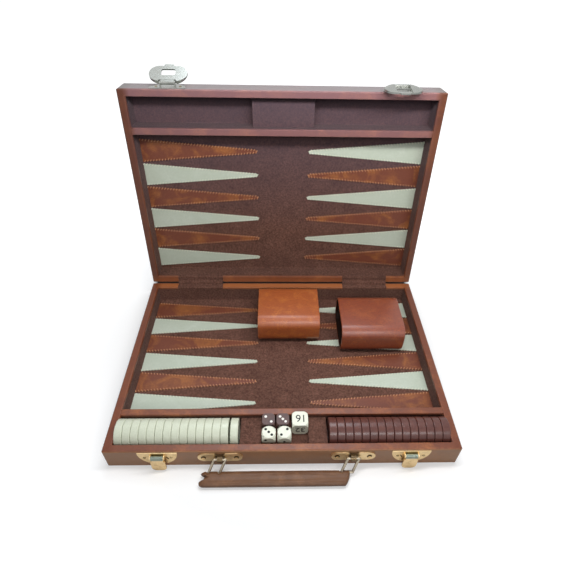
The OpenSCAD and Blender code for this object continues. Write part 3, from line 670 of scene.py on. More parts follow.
def block(bm, low, high):
    """A box between two corners. Gives its vertices."""
    low, high = Vector(low), Vector(high)
    made = bmesh.ops.create_cube(bm, size=1.0)["verts"]
    for vert in made:
        vert.co = Vector((low[i] + (vert.co[i] + 0.5) * (high[i] - low[i]) for i in range(3)))
    bm.normal_update()
    return made


def added(bm, before):
    """The vertices that are in bm now and weren't before."""
    return [v for v in bm.verts if v not in before]


def bevelled(bm, edges, offset, segments):
    """Rounds edges, and keeps the normals true for what is picked by them afterwards."""
    verts = list({v for e in edges for v in e.verts})
    bmesh.ops.bevel(
        bm, geom=list(edges) + verts, offset=offset, offset_type="OFFSET", segments=segments,
        profile=0.5, affect="EDGES", material=-1, clamp_overlap=True,
    )
    bm.normal_update()


def new_verts(made):
    """The vertices in what an extrusion gives."""
    return [g for g in made["geom"] if isinstance(g, bmesh.types.BMVert)]


def new_edges(made, verts):
    """The edges in what an extrusion gives that join these vertices."""
    edges = [g for g in made["geom"] if isinstance(g, bmesh.types.BMEdge)]
    return [e for e in edges if all(v in verts for v in e.verts)]


def centred_on(place):
    """Puts a shape in millimetres, centred on zero, at a place in metres."""
    return Matrix.Translation(place) @ Matrix.Diagonal((MM, MM, MM, 1))


# Felt

def felt_shell(y_low, y_high, fold):
    """Lining of one compartment: floor and walls in one sheet, softly folded up, its thickness outwards."""
    bm = bmesh.new()
    block(bm, (-SIDE, y_low, FELT_Z), (SIDE, y_high, LIP_Z))
    top = [f for f in bm.faces if f.normal.z > 0.9]
    bmesh.ops.delete(bm, geom=top, context="FACES")
    folds = [e for e in bm.edges if len(e.link_faces) == 2]
    bevelled(bm, folds, fold, 4)
    bmesh.ops.reverse_faces(bm, faces=bm.faces[:])
    bm.normal_update()
    bmesh.ops.solidify(bm, geom=bm.faces[:], thickness=LINING)
    return bm


def flap_path():
    """Middle line of the felt over a hinge, from the base's wall over the knuckle to the lid's, as (y, z)."""
    cosine, sine = math.cos(OPEN), math.sin(OPEN)
    lid_turn = Matrix(((cosine, sine), (-sine, cosine)))
    base = [
        (-10.05, -5.2), (-10.05, -3.4), (-10.0, -2.0), (-9.7, -1.2), (-8.9, -0.8), (-7.4, -0.72),
        (-5.8, -0.72),
    ]
    knuckle = [
        (-4.6, -0.6), (-3.75, -0.2), (-3.3, 0.6), (-3.05, 1.4), (-2.62, 2.2), (-1.95, 2.85), (-1.1, 3.25),
        (-0.2, 3.6), (0.5, 4.05),
    ]
    return base + knuckle + [tuple(lid_turn @ Vector((y, -z))) for y, z in reversed(base)]


def bend_line(points, count):
    """Evenly spaced points on a smooth line through the given ones."""
    dense = []
    n = len(points)
    for i in range(n - 1):
        p = [Vector(points[max(0, min(n - 1, i + k))]) for k in (-1, 0, 1, 2)]
        for s in range(8):
            t = s / 8
            dense.append(0.5 * (
                2 * p[1] + (p[2] - p[0]) * t + (2 * p[0] - 5 * p[1] + 4 * p[2] - p[3]) * t * t
                + (3 * p[1] - p[0] - 3 * p[2] + p[3]) * t ** 3
            ))
    dense.append(Vector(points[-1]))
    lengths = [0.0]
    for a, b in zip(dense, dense[1:]):
        lengths.append(lengths[-1] + (b - a).length)
    line, k = [], 0
    for i in range(count):
        want = lengths[-1] * i / (count - 1)
        while k < len(lengths) - 2 and lengths[k + 1] < want:
            k += 1
        step = lengths[k + 1] - lengths[k]
        line.append(dense[k].lerp(dense[k + 1], (want - lengths[k]) / step if step else 0))
    return line, lengths[-1]


def hinge_flap(centre, thickness):
    """Felt that runs over one hinge, a little puffed over the knuckle and drawn in at its sides."""
    rows, columns = 44, 34
    drawn_in, puff_height, outwards = 0.012, 0.22, Vector((-0.72, 0.69))
    line, length = bend_line(flap_path(), rows)
    bm = bmesh.new()
    bmesh.ops.create_grid(bm, x_segments=columns - 1, y_segments=rows - 1, size=1.0)
    for vert in bm.verts:
        across, along = vert.co.x, (vert.co.y + 1) / 2
        at = line[round(along * (rows - 1))]
        over_knuckle = math.exp(-((along - 0.5) / 0.17) ** 2)
        x = centre + across * FLAP_HALF * (1 - drawn_in * over_knuckle * across * across)
        puff = puff_height * over_knuckle * (1 - across ** 4) * (1 + 0.5 * math.sin(across * 7 + centre))
        out = outwards * puff
        vert.co = (x, at.x + out.x, at.y + out.y)
    bm.normal_update()
    up = sum((f.normal.z - f.normal.y for f in bm.faces))
    if up < 0:
        bmesh.ops.reverse_faces(bm, faces=bm.faces[:])
    for vert in bm.verts:
        vert.co += vert.normal * thickness / 2
    bm.normal_update()
    bmesh.ops.solidify(bm, geom=bm.faces[:], thickness=thickness)
    return bm, length


class BOARD_OT_felt(bpy.types.Operator):
    """Line both trays with felt and run a flap of it over each hinge"""

    bl_idname = "board.felt"
    bl_label = "Felt lining"

    def execute(self, context):
        felt = felt_finish("board_felt")
        s = sizes()
        fold = s.felt_fold / MM
        for body, matrix in TRAYS.items():
            for part, low, high in (("field", FIELD_FRONT, FIELD_BACK), ("trough", FRONT_IN, TROUGH_BACK)):
                piece = make_piece(
                    felt_shell(low, high, fold), f"{body}_{part}_felt", [felt], matrix, body, 60.0
                )
            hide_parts(f"{body}_lining")
        for label, centre in zip(("left", "right"), HINGE_X):
            bm, length = hinge_flap(centre, s.flap_thickness / MM)
            flap = make_piece(bm, f"{label}_hinge_flap", [felt], BASE, None, 60.0)
            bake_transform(flap)
        finish_node("dice_tray", felt)
        finish_node("lid_tray_block", felt)
        return {"FINISHED"}


# Case

class BOARD_OT_case(bpy.types.Operator):
    """Cover the case in mottled vinyl over its wooden box"""

    bl_idname = "board.case"
    bl_label = "Case"

    def execute(self, context):
        wood = wood_finish("board_wood")
        for body in TRAYS:
            finish_node(f"{body}_box", wood)
            finish_node(f"{body}_covering", vinyl_finish(f"{body}_vinyl", body))
        return {"FINISHED"}


# Points and their stitching

def point_outline():
    """Outline of a point whose wide end is at the left wall, centred on y 0, round at its tip."""
    radius, half = 2.2, POINT_HALF
    start, tip = -SIDE + 0.2, POINT_TIP - radius
    lean = math.asin(radius / math.hypot(tip - start, half)) + math.atan2(half, tip - start)
    touch = Vector((tip + radius * math.sin(lean), radius * math.cos(lean)))
    line = [Vector((start + 0.4, -half + 0.2)), Vector((touch.x, -touch.y))]
    for k in range(1, 8):
        angle = -math.pi / 2 + lean + k * (math.pi - 2 * lean) / 8
        line.append(Vector((tip + radius * math.cos(angle), radius * math.sin(angle))))
    return line + [touch, Vector((start + 0.4, half - 0.2))]


def walk(line, step):
    """Points at equal steps along a line, each with the line's direction there."""
    places, left = [], 0.0
    for a, b in zip(line, line[1:]):
        run = (b - a).length
        way = (b - a) / run
        while left < run:
            places.append((a + way * left, way))
            left += step
        left -= run
    return places


def edge_stitches(pitch, width, radius):
    """Stitches along a point's outline: each slants over the edge and ends below the surface."""
    bm = bmesh.new()
    top = POINT_RISE + radius * 0.9
    path = ((-0.72, 0.55), (-0.55, top), (0.0, POINT_RISE + radius * 0.8), (0.3, 0.05))
    for at, way in walk(point_outline(), pitch):
        side = Vector((way.y, -way.x))
        slant = (side * width + way * (pitch * 0.4)).normalized()
        across = Vector((-slant.y, slant.x))
        ring = bmesh.ops.create_circle(bm, cap_ends=True, segments=4, radius=radius)["verts"]
        edges = list({e for v in ring for e in v.link_edges})
        for share, height in path:
            centre = at + slant * (share * width)
            if share > path[0][0]:
                made = bmesh.ops.extrude_edge_only(bm, edges=edges)
                new = new_verts(made)
                edges = new_edges(made, new)
                ring = [next(n for n in new if any(e.other_vert(n) == v for e in n.link_edges)) for v in ring]
            for vert, (aside, up) in zip(ring, ((radius, 0), (0, radius), (-radius, 0), (0, -radius))):
                vert.co = (centre.x + across.x * aside, centre.y + across.y * aside, height + up)
        bmesh.ops.holes_fill(bm, edges=edges, sides=4)
    bmesh.ops.recalc_face_normals(bm, faces=bm.faces[:])
    return bm


def row_places(body, light):
    """Centre line and side of the points of one colour in a tray."""
    first = {("base", False): 0, ("base", True): 1, ("lid", False): 1, ("lid", True): 0}[(body, light)]
    middle = (FIELD_FRONT + FIELD_BACK) / 2 + (LID_POINTS_SHIFT if body == "lid" else 0.0)
    return [(middle + (2.5 - i) * POINT_PITCH, (i + first) % 2 == 1) for i in range(6)]


def seam_piece(template, places):
    """Copies of one point's seam at every place, mirrored where the point starts at the right."""
    bm = bmesh.new()
    mesh = bpy.data.meshes.new("seam_template")
    template.to_mesh(mesh)
    for y, right in places:
        before = set(bm.verts)
        bm.from_mesh(mesh)
        new = added(bm, before)
        matrix = Matrix.Translation((0, y, FELT_Z)) @ Matrix.Diagonal((-1 if right else 1, 1, 1, 1))
        bmesh.ops.transform(bm, matrix=matrix, verts=new)
        if right:
            bmesh.ops.reverse_faces(bm, faces=[f for f in bm.faces if f.verts[0] not in before])
    bpy.data.meshes.remove(mesh)
    return bm


class BOARD_OT_points(bpy.types.Operator):
    """Finish the points and sew round each of them"""

    bl_idname = "board.points"
    bl_label = "Points"

    def execute(self, context):
        c, s = colours(), sizes()
        brown = leather_finish(
            "board_brown_point", c.brown_point, tone(94, 48, 36), tone(168, 106, 58), 34.0,
            Specular_IOR_Level=0.4,
        )
        light = leather_finish(
            "board_light_point", c.light_point, tone(178, 188, 170), tone(198, 206, 192), 22.0,
            bump=0.2, Specular_IOR_Level=0.35,
        )
        thread = thread_finish("board_thread", c.thread)
        pale = thread_finish("board_pale_thread", c.pale_thread)
        template = edge_stitches(s.stitch_pitch / MM, s.stitch_width / MM, s.thread_radius / MM)
        for body, matrix in TRAYS.items():
            finish_node(f"{body}_brown_points", brown)
            finish_node(f"{body}_light_points", light)
            for label, is_light, material in (("brown", False, thread), ("light", True, pale)):
                make_piece(
                    seam_piece(template, row_places(body, is_light)), f"{body}_{label}_seams", [material],
                    matrix, body, 80.0,
                )
        template.free()
        return {"FINISHED"}


# Dice cups

def cup_body(length, width, thick, radius, wall, edge):
    """Cup lying on its side, mouth to the left, centred on its middle. Its inside has the second material."""
    bm = bmesh.new()
    half = Vector((length, width, thick)) / 2
    block(bm, -half, half)
    long = [e for e in bm.edges if abs(e.verts[0].co.x - e.verts[1].co.x) > length * 0.5]
    bevelled(bm, long, radius, 12)
    mouth = [f for f in bm.faces if f.normal.x < -0.9]
    bmesh.ops.inset_region(bm, faces=mouth, thickness=wall, use_even_offset=True)
    floor = new_verts(bmesh.ops.extrude_face_region(bm, geom=mouth))
    bmesh.ops.delete(bm, geom=mouth, context="FACES_ONLY")
    bmesh.ops.translate(bm, vec=(length - wall, 0, 0), verts=floor)
    bm.normal_update()
    for face in bm.faces:
        middle, way = face.calc_center_median(), face.normal
        if middle.y * way.y + middle.z * way.z < -0.5 or (way.x < -0.9 and middle.x > 0):
            face.material_index = 1
    ends = [e for e in bm.edges if all(abs(abs(v.co.x) - half.x) < 0.001 for v in e.verts)
            and abs(e.link_faces[0].normal.x - e.link_faces[1].normal.x) > 0.5]
    bevelled(bm, ends, edge, 3)
    return bm


class BOARD_OT_cups(bpy.types.Operator):
    """Make the two dice cups in leather cloth over a stiff shell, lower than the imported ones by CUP_SINK"""

    bl_idname = "board.cups"
    bl_label = "Dice cups"

    def execute(self, context):
        c, s = colours(), sizes()
        # Inside of the cups: dark leather cloth, its darkness partly painted shade of their mouths
        lining = leather_finish(
            "board_cup_shaded_lining", tone(38, 24, 19), tone(26, 17, 14), tone(48, 31, 24), 40.0,
            Specular_IOR_Level=0.1,
        )
        tones = {
            "left": (80.0, c.cup, tone(142, 66, 28), tone(208, 124, 52)),
            "right": (50.0, tone(142, 63, 28), tone(112, 46, 24), tone(168, 86, 40)),
        }
        for label, (cloud, main, dark, pale) in tones.items():
            node = f"{label}_dice_cup"
            low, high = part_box(node)
            centre, size = (low + high) / 2, (high - low) / MM
            rubbed_rims = (centre, (size.x / 2 * MM, 0.2, 0.2), 0.0012)
            outside = leather_finish(
                f"board_{label}_cup", main, dark, pale, cloud, tone(206, 150, 112), rubbed_rims, 1000.0, 0.35,
                veins=0.85, shine=(centre.z - 0.016, centre.z - 0.004),
                Specular_IOR_Level=0.6, Coat_Roughness=0.38, Coat_IOR=1.6,
            )
            bm = cup_body(size.x, size.y, size.z - CUP_SINK, CUP_CORNER, CUP_WALL, s.cup_edge / MM)
            settled = centre - Vector((0, 0, CUP_SINK / 2 * MM))
            piece = make_piece(
                bm, f"{node}_cover", [outside, lining], centred_on(settled), f"{node}_body",
                40.0,
            )
            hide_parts(node)
        return {"FINISHED"}


# Handle

def grip_ends(across, cleft=0.0):
    """Left and right end of the grip at a place across it, from -1 at the front to 1 at the back.

    cleft is 1 where the left end is cut in between its lobes, and 0 away from there.
    """
    left = -90.5 + 2.5 * (across + 1) / 2 + 5.5 * cleft
    right = 67.0 + 6.0 * (across + 1) / 2
    return left, right


def grip_shape():
    """Padded grip of folded leather: long creases, a sewn ridge at the back and two lobes at its left end."""
    rows, columns = 190, 56
    y_mid, z_mid, half_y, half_z = -285.1, -26.35, 8.2, 4.45
    squareness, lobe_split = 2.7, 0.15
    creases = (
        (1.95, 0.10, 0.55, 0.3), (1.35, 0.09, 0.4, 2.1), (2.5, 0.12, 0.5, 4.0), (3.6, 0.16, 0.45, 1.0),
        (0.62, 0.08, 0.45, 5.0),
    )
    legs = [eye + side * RING_HALF for eye in RING_X for side in (-1, 1)]
    bm = bmesh.new()
    bmesh.ops.create_grid(bm, x_segments=rows, y_segments=columns, size=1.0)
    for vert in bm.verts:
        u, angle = (vert.co.x + 1) / 2, (vert.co.y + 1) * math.pi
        co, si = math.cos(angle), math.sin(angle)
        y = math.copysign(abs(co) ** (2 / squareness), co)
        z = math.copysign(abs(si) ** (2 / squareness), si)
        end = min(1.0, u / 0.042, (1 - u) / 0.018)
        close = math.sqrt(1 - (1 - end) ** 2)
        lobe = 0.0 if u > 0.5 else (-0.42 if y < lobe_split else 0.62)
        across = lobe + (y - lobe) * close
        left, right = grip_ends(across, math.exp(-((y - lobe_split) / 0.22) ** 2))
        x = left + (right - left) * u
        swell = 0.90 + 0.10 * math.sin(math.pi * u) + 0.03 * math.sin(17 * u + 1)
        crease = 0.0
        for place, width, depth, phase in creases:
            way = place + 0.10 * math.sin(4.2 * u + phase) + 0.05 * math.sin(11 * u + 2 * phase)
            fade = 0.45 + 0.55 * math.sin(7 * u + phase) ** 2
            crease += depth * fade * math.exp(-((angle - way) / width) ** 2)
        ridge = 0.35 * math.exp(-((angle - 0.35) / 0.16) ** 2)
        wrinkle = 0.22 * noise.noise(Vector((x * 0.11, y * 1.6, z * 1.6)))
        scale = swell - (crease - ridge - wrinkle) / 5.0
        pulls = [math.exp(-((x - leg) / 1.7) ** 4) for leg in legs]
        notch = 1 - 0.3 * max(pulls) if y > 0.1 else 1.0
        vert.co = (
            x,
            y_mid + half_y * across * (0.94 + 0.06 * swell) * notch,
            z_mid + half_z * z * scale * (0.35 + 0.65 * close) * close,
        )
    bmesh.ops.remove_doubles(bm, verts=bm.verts[:], dist=0.001)
    bmesh.ops.recalc_face_normals(bm, faces=bm.faces[:])
    return bm


def grip_seam():
    """Small stitches along the top of the grip near its back edge."""
    bm = bmesh.new()
    first, step, count, radius = -60.0, 3.2, 40, 0.26
    along = Matrix.Rotation(0.12, 4, "Z") @ Matrix.Rotation(math.pi / 2, 4, "Y")
    flattened = Matrix.Diagonal((0.8, 1.2, 1, 1))
    for k in range(count):
        x = first + k * step
        y = -279.6 + 0.35 * math.sin(0.21 * x)
        z = -22.9 + 0.12 * math.sin(0.4 * x)
        bmesh.ops.create_cone(
            bm, cap_ends=True, segments=6, radius1=radius, radius2=radius, depth=step * 0.62,
            matrix=Matrix.Translation((x, y, z)) @ along @ flattened,
        )
    return bm


def round_head(bm, radius, height, matrix):
    """Domed round head whose dome looks along +z of the matrix."""
    before = set(bm.verts)
    made = bmesh.ops.create_circle(bm, cap_ends=True, segments=24, radius=radius)["verts"]
    face = made[0].link_faces[0]
    for inset, rise in ((0.12, 0.55), (0.30, 0.33), (0.30, 0.12)):
        bmesh.ops.inset_region(bm, faces=[face], thickness=radius * inset, use_even_offset=True)
        bmesh.ops.translate(bm, vec=(0, 0, height * rise), verts=face.verts[:])
    bmesh.ops.transform(bm, matrix=matrix, verts=added(bm, before))


def cross_head(bm, radius, height, matrix):
    """Low screw head with a cross recess."""
    before = set(bm.verts)
    flat = 0.82
    made = bmesh.ops.create_circle(bm, cap_ends=False, segments=24, radius=radius * flat)["verts"]
    rim_edges = list({e for v in made for e in v.link_edges})
    low = new_verts(bmesh.ops.extrude_edge_only(bm, edges=rim_edges))
    bmesh.ops.scale(bm, vec=(1 / flat, 1 / flat, 1), verts=low)
    bmesh.ops.translate(bm, vec=(0, 0, -height), verts=low)
    a, b = radius * 0.16, radius * 0.55
    arm = [(b, a), (a, a), (a, b)]
    spots = arm + [(-x, y) for x, y in reversed(arm)] + [(-x, -y) for x, y in arm]
    spots += [(x, -y) for x, y in reversed(arm)]
    cross = [bm.verts.new((x, y, 0)) for x, y in spots]
    slot_edges = [bm.edges.new((cross[i], cross[(i + 1) % 12])) for i in range(12)]
    bmesh.ops.triangle_fill(bm, use_beauty=True, edges=rim_edges + slot_edges)
    sunk = bmesh.ops.extrude_edge_only(bm, edges=slot_edges)
    deep = new_verts(sunk)
    bmesh.ops.scale(bm, vec=(0.8, 0.8, 1), verts=deep)
    bmesh.ops.translate(bm, vec=(0, 0, -height * 0.9), verts=deep)
    bmesh.ops.contextual_create(bm, geom=new_edges(sunk, deep))
    bmesh.ops.transform(bm, matrix=matrix, verts=added(bm, before))


def on_front(x, z, out, turn=0.0):
    """Place on the front face of a tray, with +z pointing away from the face."""
    place = Matrix.Translation((x, FRONT - out, z))
    return place @ Matrix.Rotation(math.pi / 2, 4, "X") @ Matrix.Rotation(turn, 4, "Z")


class BOARD_OT_handle(bpy.types.Operator):
    """Make the leather grip and finish the rings and brackets of the handle"""

    bl_idname = "board.handle"
    bl_label = "Handle"

    def execute(self, context):
        c, s = colours(), sizes()
        leather = leather_finish(
            "board_grip_leather", c.grip, tone(84, 56, 42), tone(134, 96, 68), 46.0, grain=900.0, bump=0.5,
            Specular_IOR_Level=0.4,
        )
        grip = make_piece(
            grip_shape(), "grip_leather", [leather], BASE, "handle_grip_body", 50.0
        )
        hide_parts("handle_grip")
        thread = thread_finish("board_grip_thread", tone(96, 66, 52))
        make_piece(grip_seam(), "grip_stitches", [thread], BASE, "handle_grip_body", 60.0)
        finish_node("handle_brackets", bracket_finish("board_bracket_brass", c.brass))
        nickel = metal_finish("board_ring_nickel", tone(196, 184, 164), tone(104, 88, 72), 0.2, 0.6)
        finish_node("handle_rings", nickel)
        bronze = metal_finish("board_rivet_bronze", tone(250, 216, 156), tone(176, 132, 88), 0.45, 0.4)
        shade = metal_finish("board_rivet_shade", tone(74, 58, 42), tone(40, 30, 22), 0.45, 0.6)
        seats, heads = bmesh.new(), bmesh.new()
        rivet_off, rivet_z = 17.4, -11.0
        for x in [middle + side * rivet_off for middle in BRACKET_X for side in (-1, 1)]:
            round_head(seats, 2.7, 0.22, on_front(x, rivet_z, 1.2))
            round_head(heads, s.rivet_radius / MM, 0.75, on_front(x, rivet_z, 1.35))
        make_piece(seats, "bracket_rivet_seats", [shade], BASE, "base", 50.0)
        make_piece(heads, "bracket_rivets", [bronze], BASE, "base", 50.0)
        return {"FINISHED"}


# Latches and hinges

class BOARD_OT_latches(bpy.types.Operator):
    """Finish the latches, hasps and hinges and add their screws"""

    bl_idname = "board.latches"
    bl_label = "Latches and hinges"

    def execute(self, context):
        c, s = colours(), sizes()
        brass = metal_finish("board_plate_brass", c.brass, tone(150, 122, 80), 0.3, 0.35)
        nickel = metal_finish("board_nickel", c.nickel, tone(112, 116, 110), 0.22, 0.45)
        steel = metal_finish("board_screw", tone(170, 150, 110), tone(86, 70, 48), 0.3, 0.6)
        shade = metal_finish("board_slot_shade", tone(58, 46, 34), tone(32, 26, 20), 0.5, 0.6)
        finish_node("catch_plates", brass)
        finish_node("hasp_plates", nickel)
        for side in ("left", "right"):
            finish_node(f"{side}_hasp", nickel)
            finish_node(f"{side}_catch", catch_finish(f"board_{side}_catch", c.brass, tone(150, 160, 148)))
        for body in TRAYS:
            finish_node(f"{body}_hinge_leaves", brass)
        turns = random.Random(4)
        screw_off, screw_z, head_height = 13.9, -10.5, 0.45
        for body, matrix in TRAYS.items():
            bm = bmesh.new()
            for x in [middle + side * screw_off for middle in LATCH_X for side in (-1, 1)]:
                place = on_front(x, screw_z, 1.3, turns.uniform(0, 1.5))
                cross_head(bm, s.screw_radius / MM, head_height, place)
            make_piece(bm, f"{body}_latch_screws", [steel], matrix, body, 35.0)
        bm = bmesh.new()
        half_wide, half_long, rise = 0.55, 2.6, 0.12
        for middle, side in zip(LATCH_X, (1, -1)):
            made = block(bm, (-half_wide, -half_long, 0), (half_wide, half_long, rise))
            place = on_front(middle + side * 10.1, -11.4, 0.9, 0.38)
            bmesh.ops.transform(bm, matrix=place, verts=made)
        make_piece(bm, "catch_plate_slots", [shade], BASE, "base", 35.0)
        return {"FINISHED"}


# Dice, cube and checkers

PIPS = {
    1: [(0, 0)],
    2: [(-1, 1), (1, -1)],
    3: [(-1, 1), (0, 0), (1, -1)],
    4: [(-1, 1), (1, -1), (-1, -1), (1, 1)],
    5: [(-1, 1), (1, -1), (-1, -1), (1, 1), (0, 0)],
    6: [(-1, 1), (1, -1), (-1, -1), (1, 1), (-1, 0), (1, 0)],
}


def face_frames(half):
    """Frames of a cube's faces, each looking out along its z: top, front, right, back, left, bottom."""
    front = Matrix.Rotation(math.pi / 2, 4, "X")
    sides = [Matrix.Rotation(quarter * math.pi / 2, 4, "Z") @ front for quarter in (1, 2, -1)]
    turns = [Matrix.Identity(4), front, *sides, Matrix.Rotation(math.pi, 4, "X")]
    return [turn @ Matrix.Translation((0, 0, half)) for turn in turns]


def cube_place(node):
    """Half the edge of a cube-shaped node in millimetres, and the matrix that centres a shape on it."""
    low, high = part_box(node)
    return (high.x - low.x) / 2 / MM, centred_on((low + high) / 2)


def pips(half, radius, values, mirrored):
    """Pips on all faces of a die, each a shallow painted dish with a raised rim."""
    bm = bmesh.new()
    step = half * 0.44
    for place, value in zip(face_frames(half), values):
        for x, y in PIPS[value]:
            spot = Matrix.Translation((x * step * (-1 if mirrored else 1), y * step, -0.02))
            before = set(bm.verts)
            made = bmesh.ops.create_circle(bm, cap_ends=True, segments=20, radius=radius)["verts"]
            face = made[0].link_faces[0]
            bmesh.ops.inset_region(bm, faces=[face], thickness=radius * 0.12)
            bmesh.ops.translate(bm, vec=(0, 0, 0.09), verts=face.verts[:])
            bmesh.ops.inset_region(bm, faces=[face], thickness=radius * 0.35)
            bmesh.ops.translate(bm, vec=(0, 0, -0.05), verts=face.verts[:])
            bmesh.ops.transform(bm, matrix=place @ spot, verts=added(bm, before))
    return bm


def number_mesh(text, size):
    """Raised number as a mesh, centred, looking along +z."""
    curve = bpy.data.curves.new("number", "FONT")
    curve.body = text
    curve.size = size
    curve.extrude = 0.06
    curve.space_character = 0.95
    curve.align_x = "CENTER"
    curve.align_y = "CENTER"
    holder = bpy.data.objects.new("number", curve)
    bpy.context.scene.collection.objects.link(holder)
    bpy.context.view_layer.update()
    mesh = bpy.data.meshes.new_from_object(holder.evaluated_get(bpy.context.evaluated_depsgraph_get()))
    bpy.data.objects.remove(holder)
    bpy.data.curves.remove(curve)
    return mesh


class BOARD_OT_dice(bpy.types.Operator):
    """Finish the dice and the doubling cube and put on their pips and numbers"""

    bl_idname = "board.dice"
    bl_label = "Dice and cube"

    def execute(self, context):
        s = sizes()
        ivory = plastic_finish("board_ivory_dice", tone(226, 228, 210), tone(206, 208, 186), 0.4, 0.3)
        brown = plastic_finish("board_brown_dice", tone(88, 62, 56), tone(70, 46, 44), 0.8, 0.4)
        black = ink_finish("board_black_ink", tone(22, 24, 22))
        white = ink_finish("board_white_ink", tone(236, 232, 224))
        faces = {
            "left_brown_die": (brown, white, (2, 1, 4, 6, 3, 5), False),
            "right_brown_die": (brown, white, (3, 5, 1, 2, 6, 4), False),
            "left_ivory_die": (ivory, black, (3, 2, 1, 5, 6, 4), False),
            "right_ivory_die": (ivory, black, (2, 1, 4, 6, 3, 5), True),
        }
        for node, (plastic, ink, values, mirrored) in faces.items():
            finish_node(node, plastic)
            half, matrix = cube_place(node)
            bm = pips(half, s.pip_radius / MM, values, mirrored)
            make_piece(bm, f"{node}_pips", [ink], matrix, f"{node}_body", 30.0)
        finish_node("doubling_cube", ivory)
        half, cube_matrix = cube_place("doubling_cube")
        bm = bmesh.new()
        numbers, quarter_turns = ("16", "32", "64", "2", "4", "8"), (2, 2, 1, 0, 3, 1)
        for place, text, turn in zip(face_frames(half), numbers, quarter_turns):
            mesh = number_mesh(text, s.digit_size / MM)
            before = set(bm.verts)
            bm.from_mesh(mesh)
            new = added(bm, before)
            middle = Vector((max(v.co[i] for v in new) + min(v.co[i] for v in new)) / 2 for i in range(3))
            centring = Matrix.Translation((-middle.x, -middle.y, 0.03))
            matrix = place @ Matrix.Rotation(turn * math.pi / 2, 4, "Z") @ centring
            bmesh.ops.transform(bm, matrix=matrix, verts=new)
            bpy.data.meshes.remove(mesh)
        bmesh.ops.remove_doubles(bm, verts=bm.verts[:], dist=0.0005)
        make_piece(bm, "doubling_cube_numbers", [black], cube_matrix, "doubling_cube_body", 30.0)
        return {"FINISHED"}


class BOARD_OT_checkers(bpy.types.Operator):
    """Finish the thirty checkers"""

    bl_idname = "board.checkers"
    bl_label = "Checkers"

    def execute(self, context):
        c = colours()
        ivory = plastic_finish("board_ivory_checkers", c.ivory, tone(200, 206, 184), 0.5, 0.26, 0.15)
        brown = plastic_finish("board_brown_checkers", c.brown_plastic, tone(78, 42, 38), 0.8, 0.3, 0.25)
        for name in frame["nodes"]:
            if "_checker_" in name:
                finish_node(name, ivory if name.startswith("white") else brown)
        return {"FINISHED"}


# Stage

VIEW_PLACE = (-0.00697, -0.36891, 0.47223)
VIEW_TURN = Vector((2.3074, -0.0129, 0.0329))
VIEW_LENS = 27.83


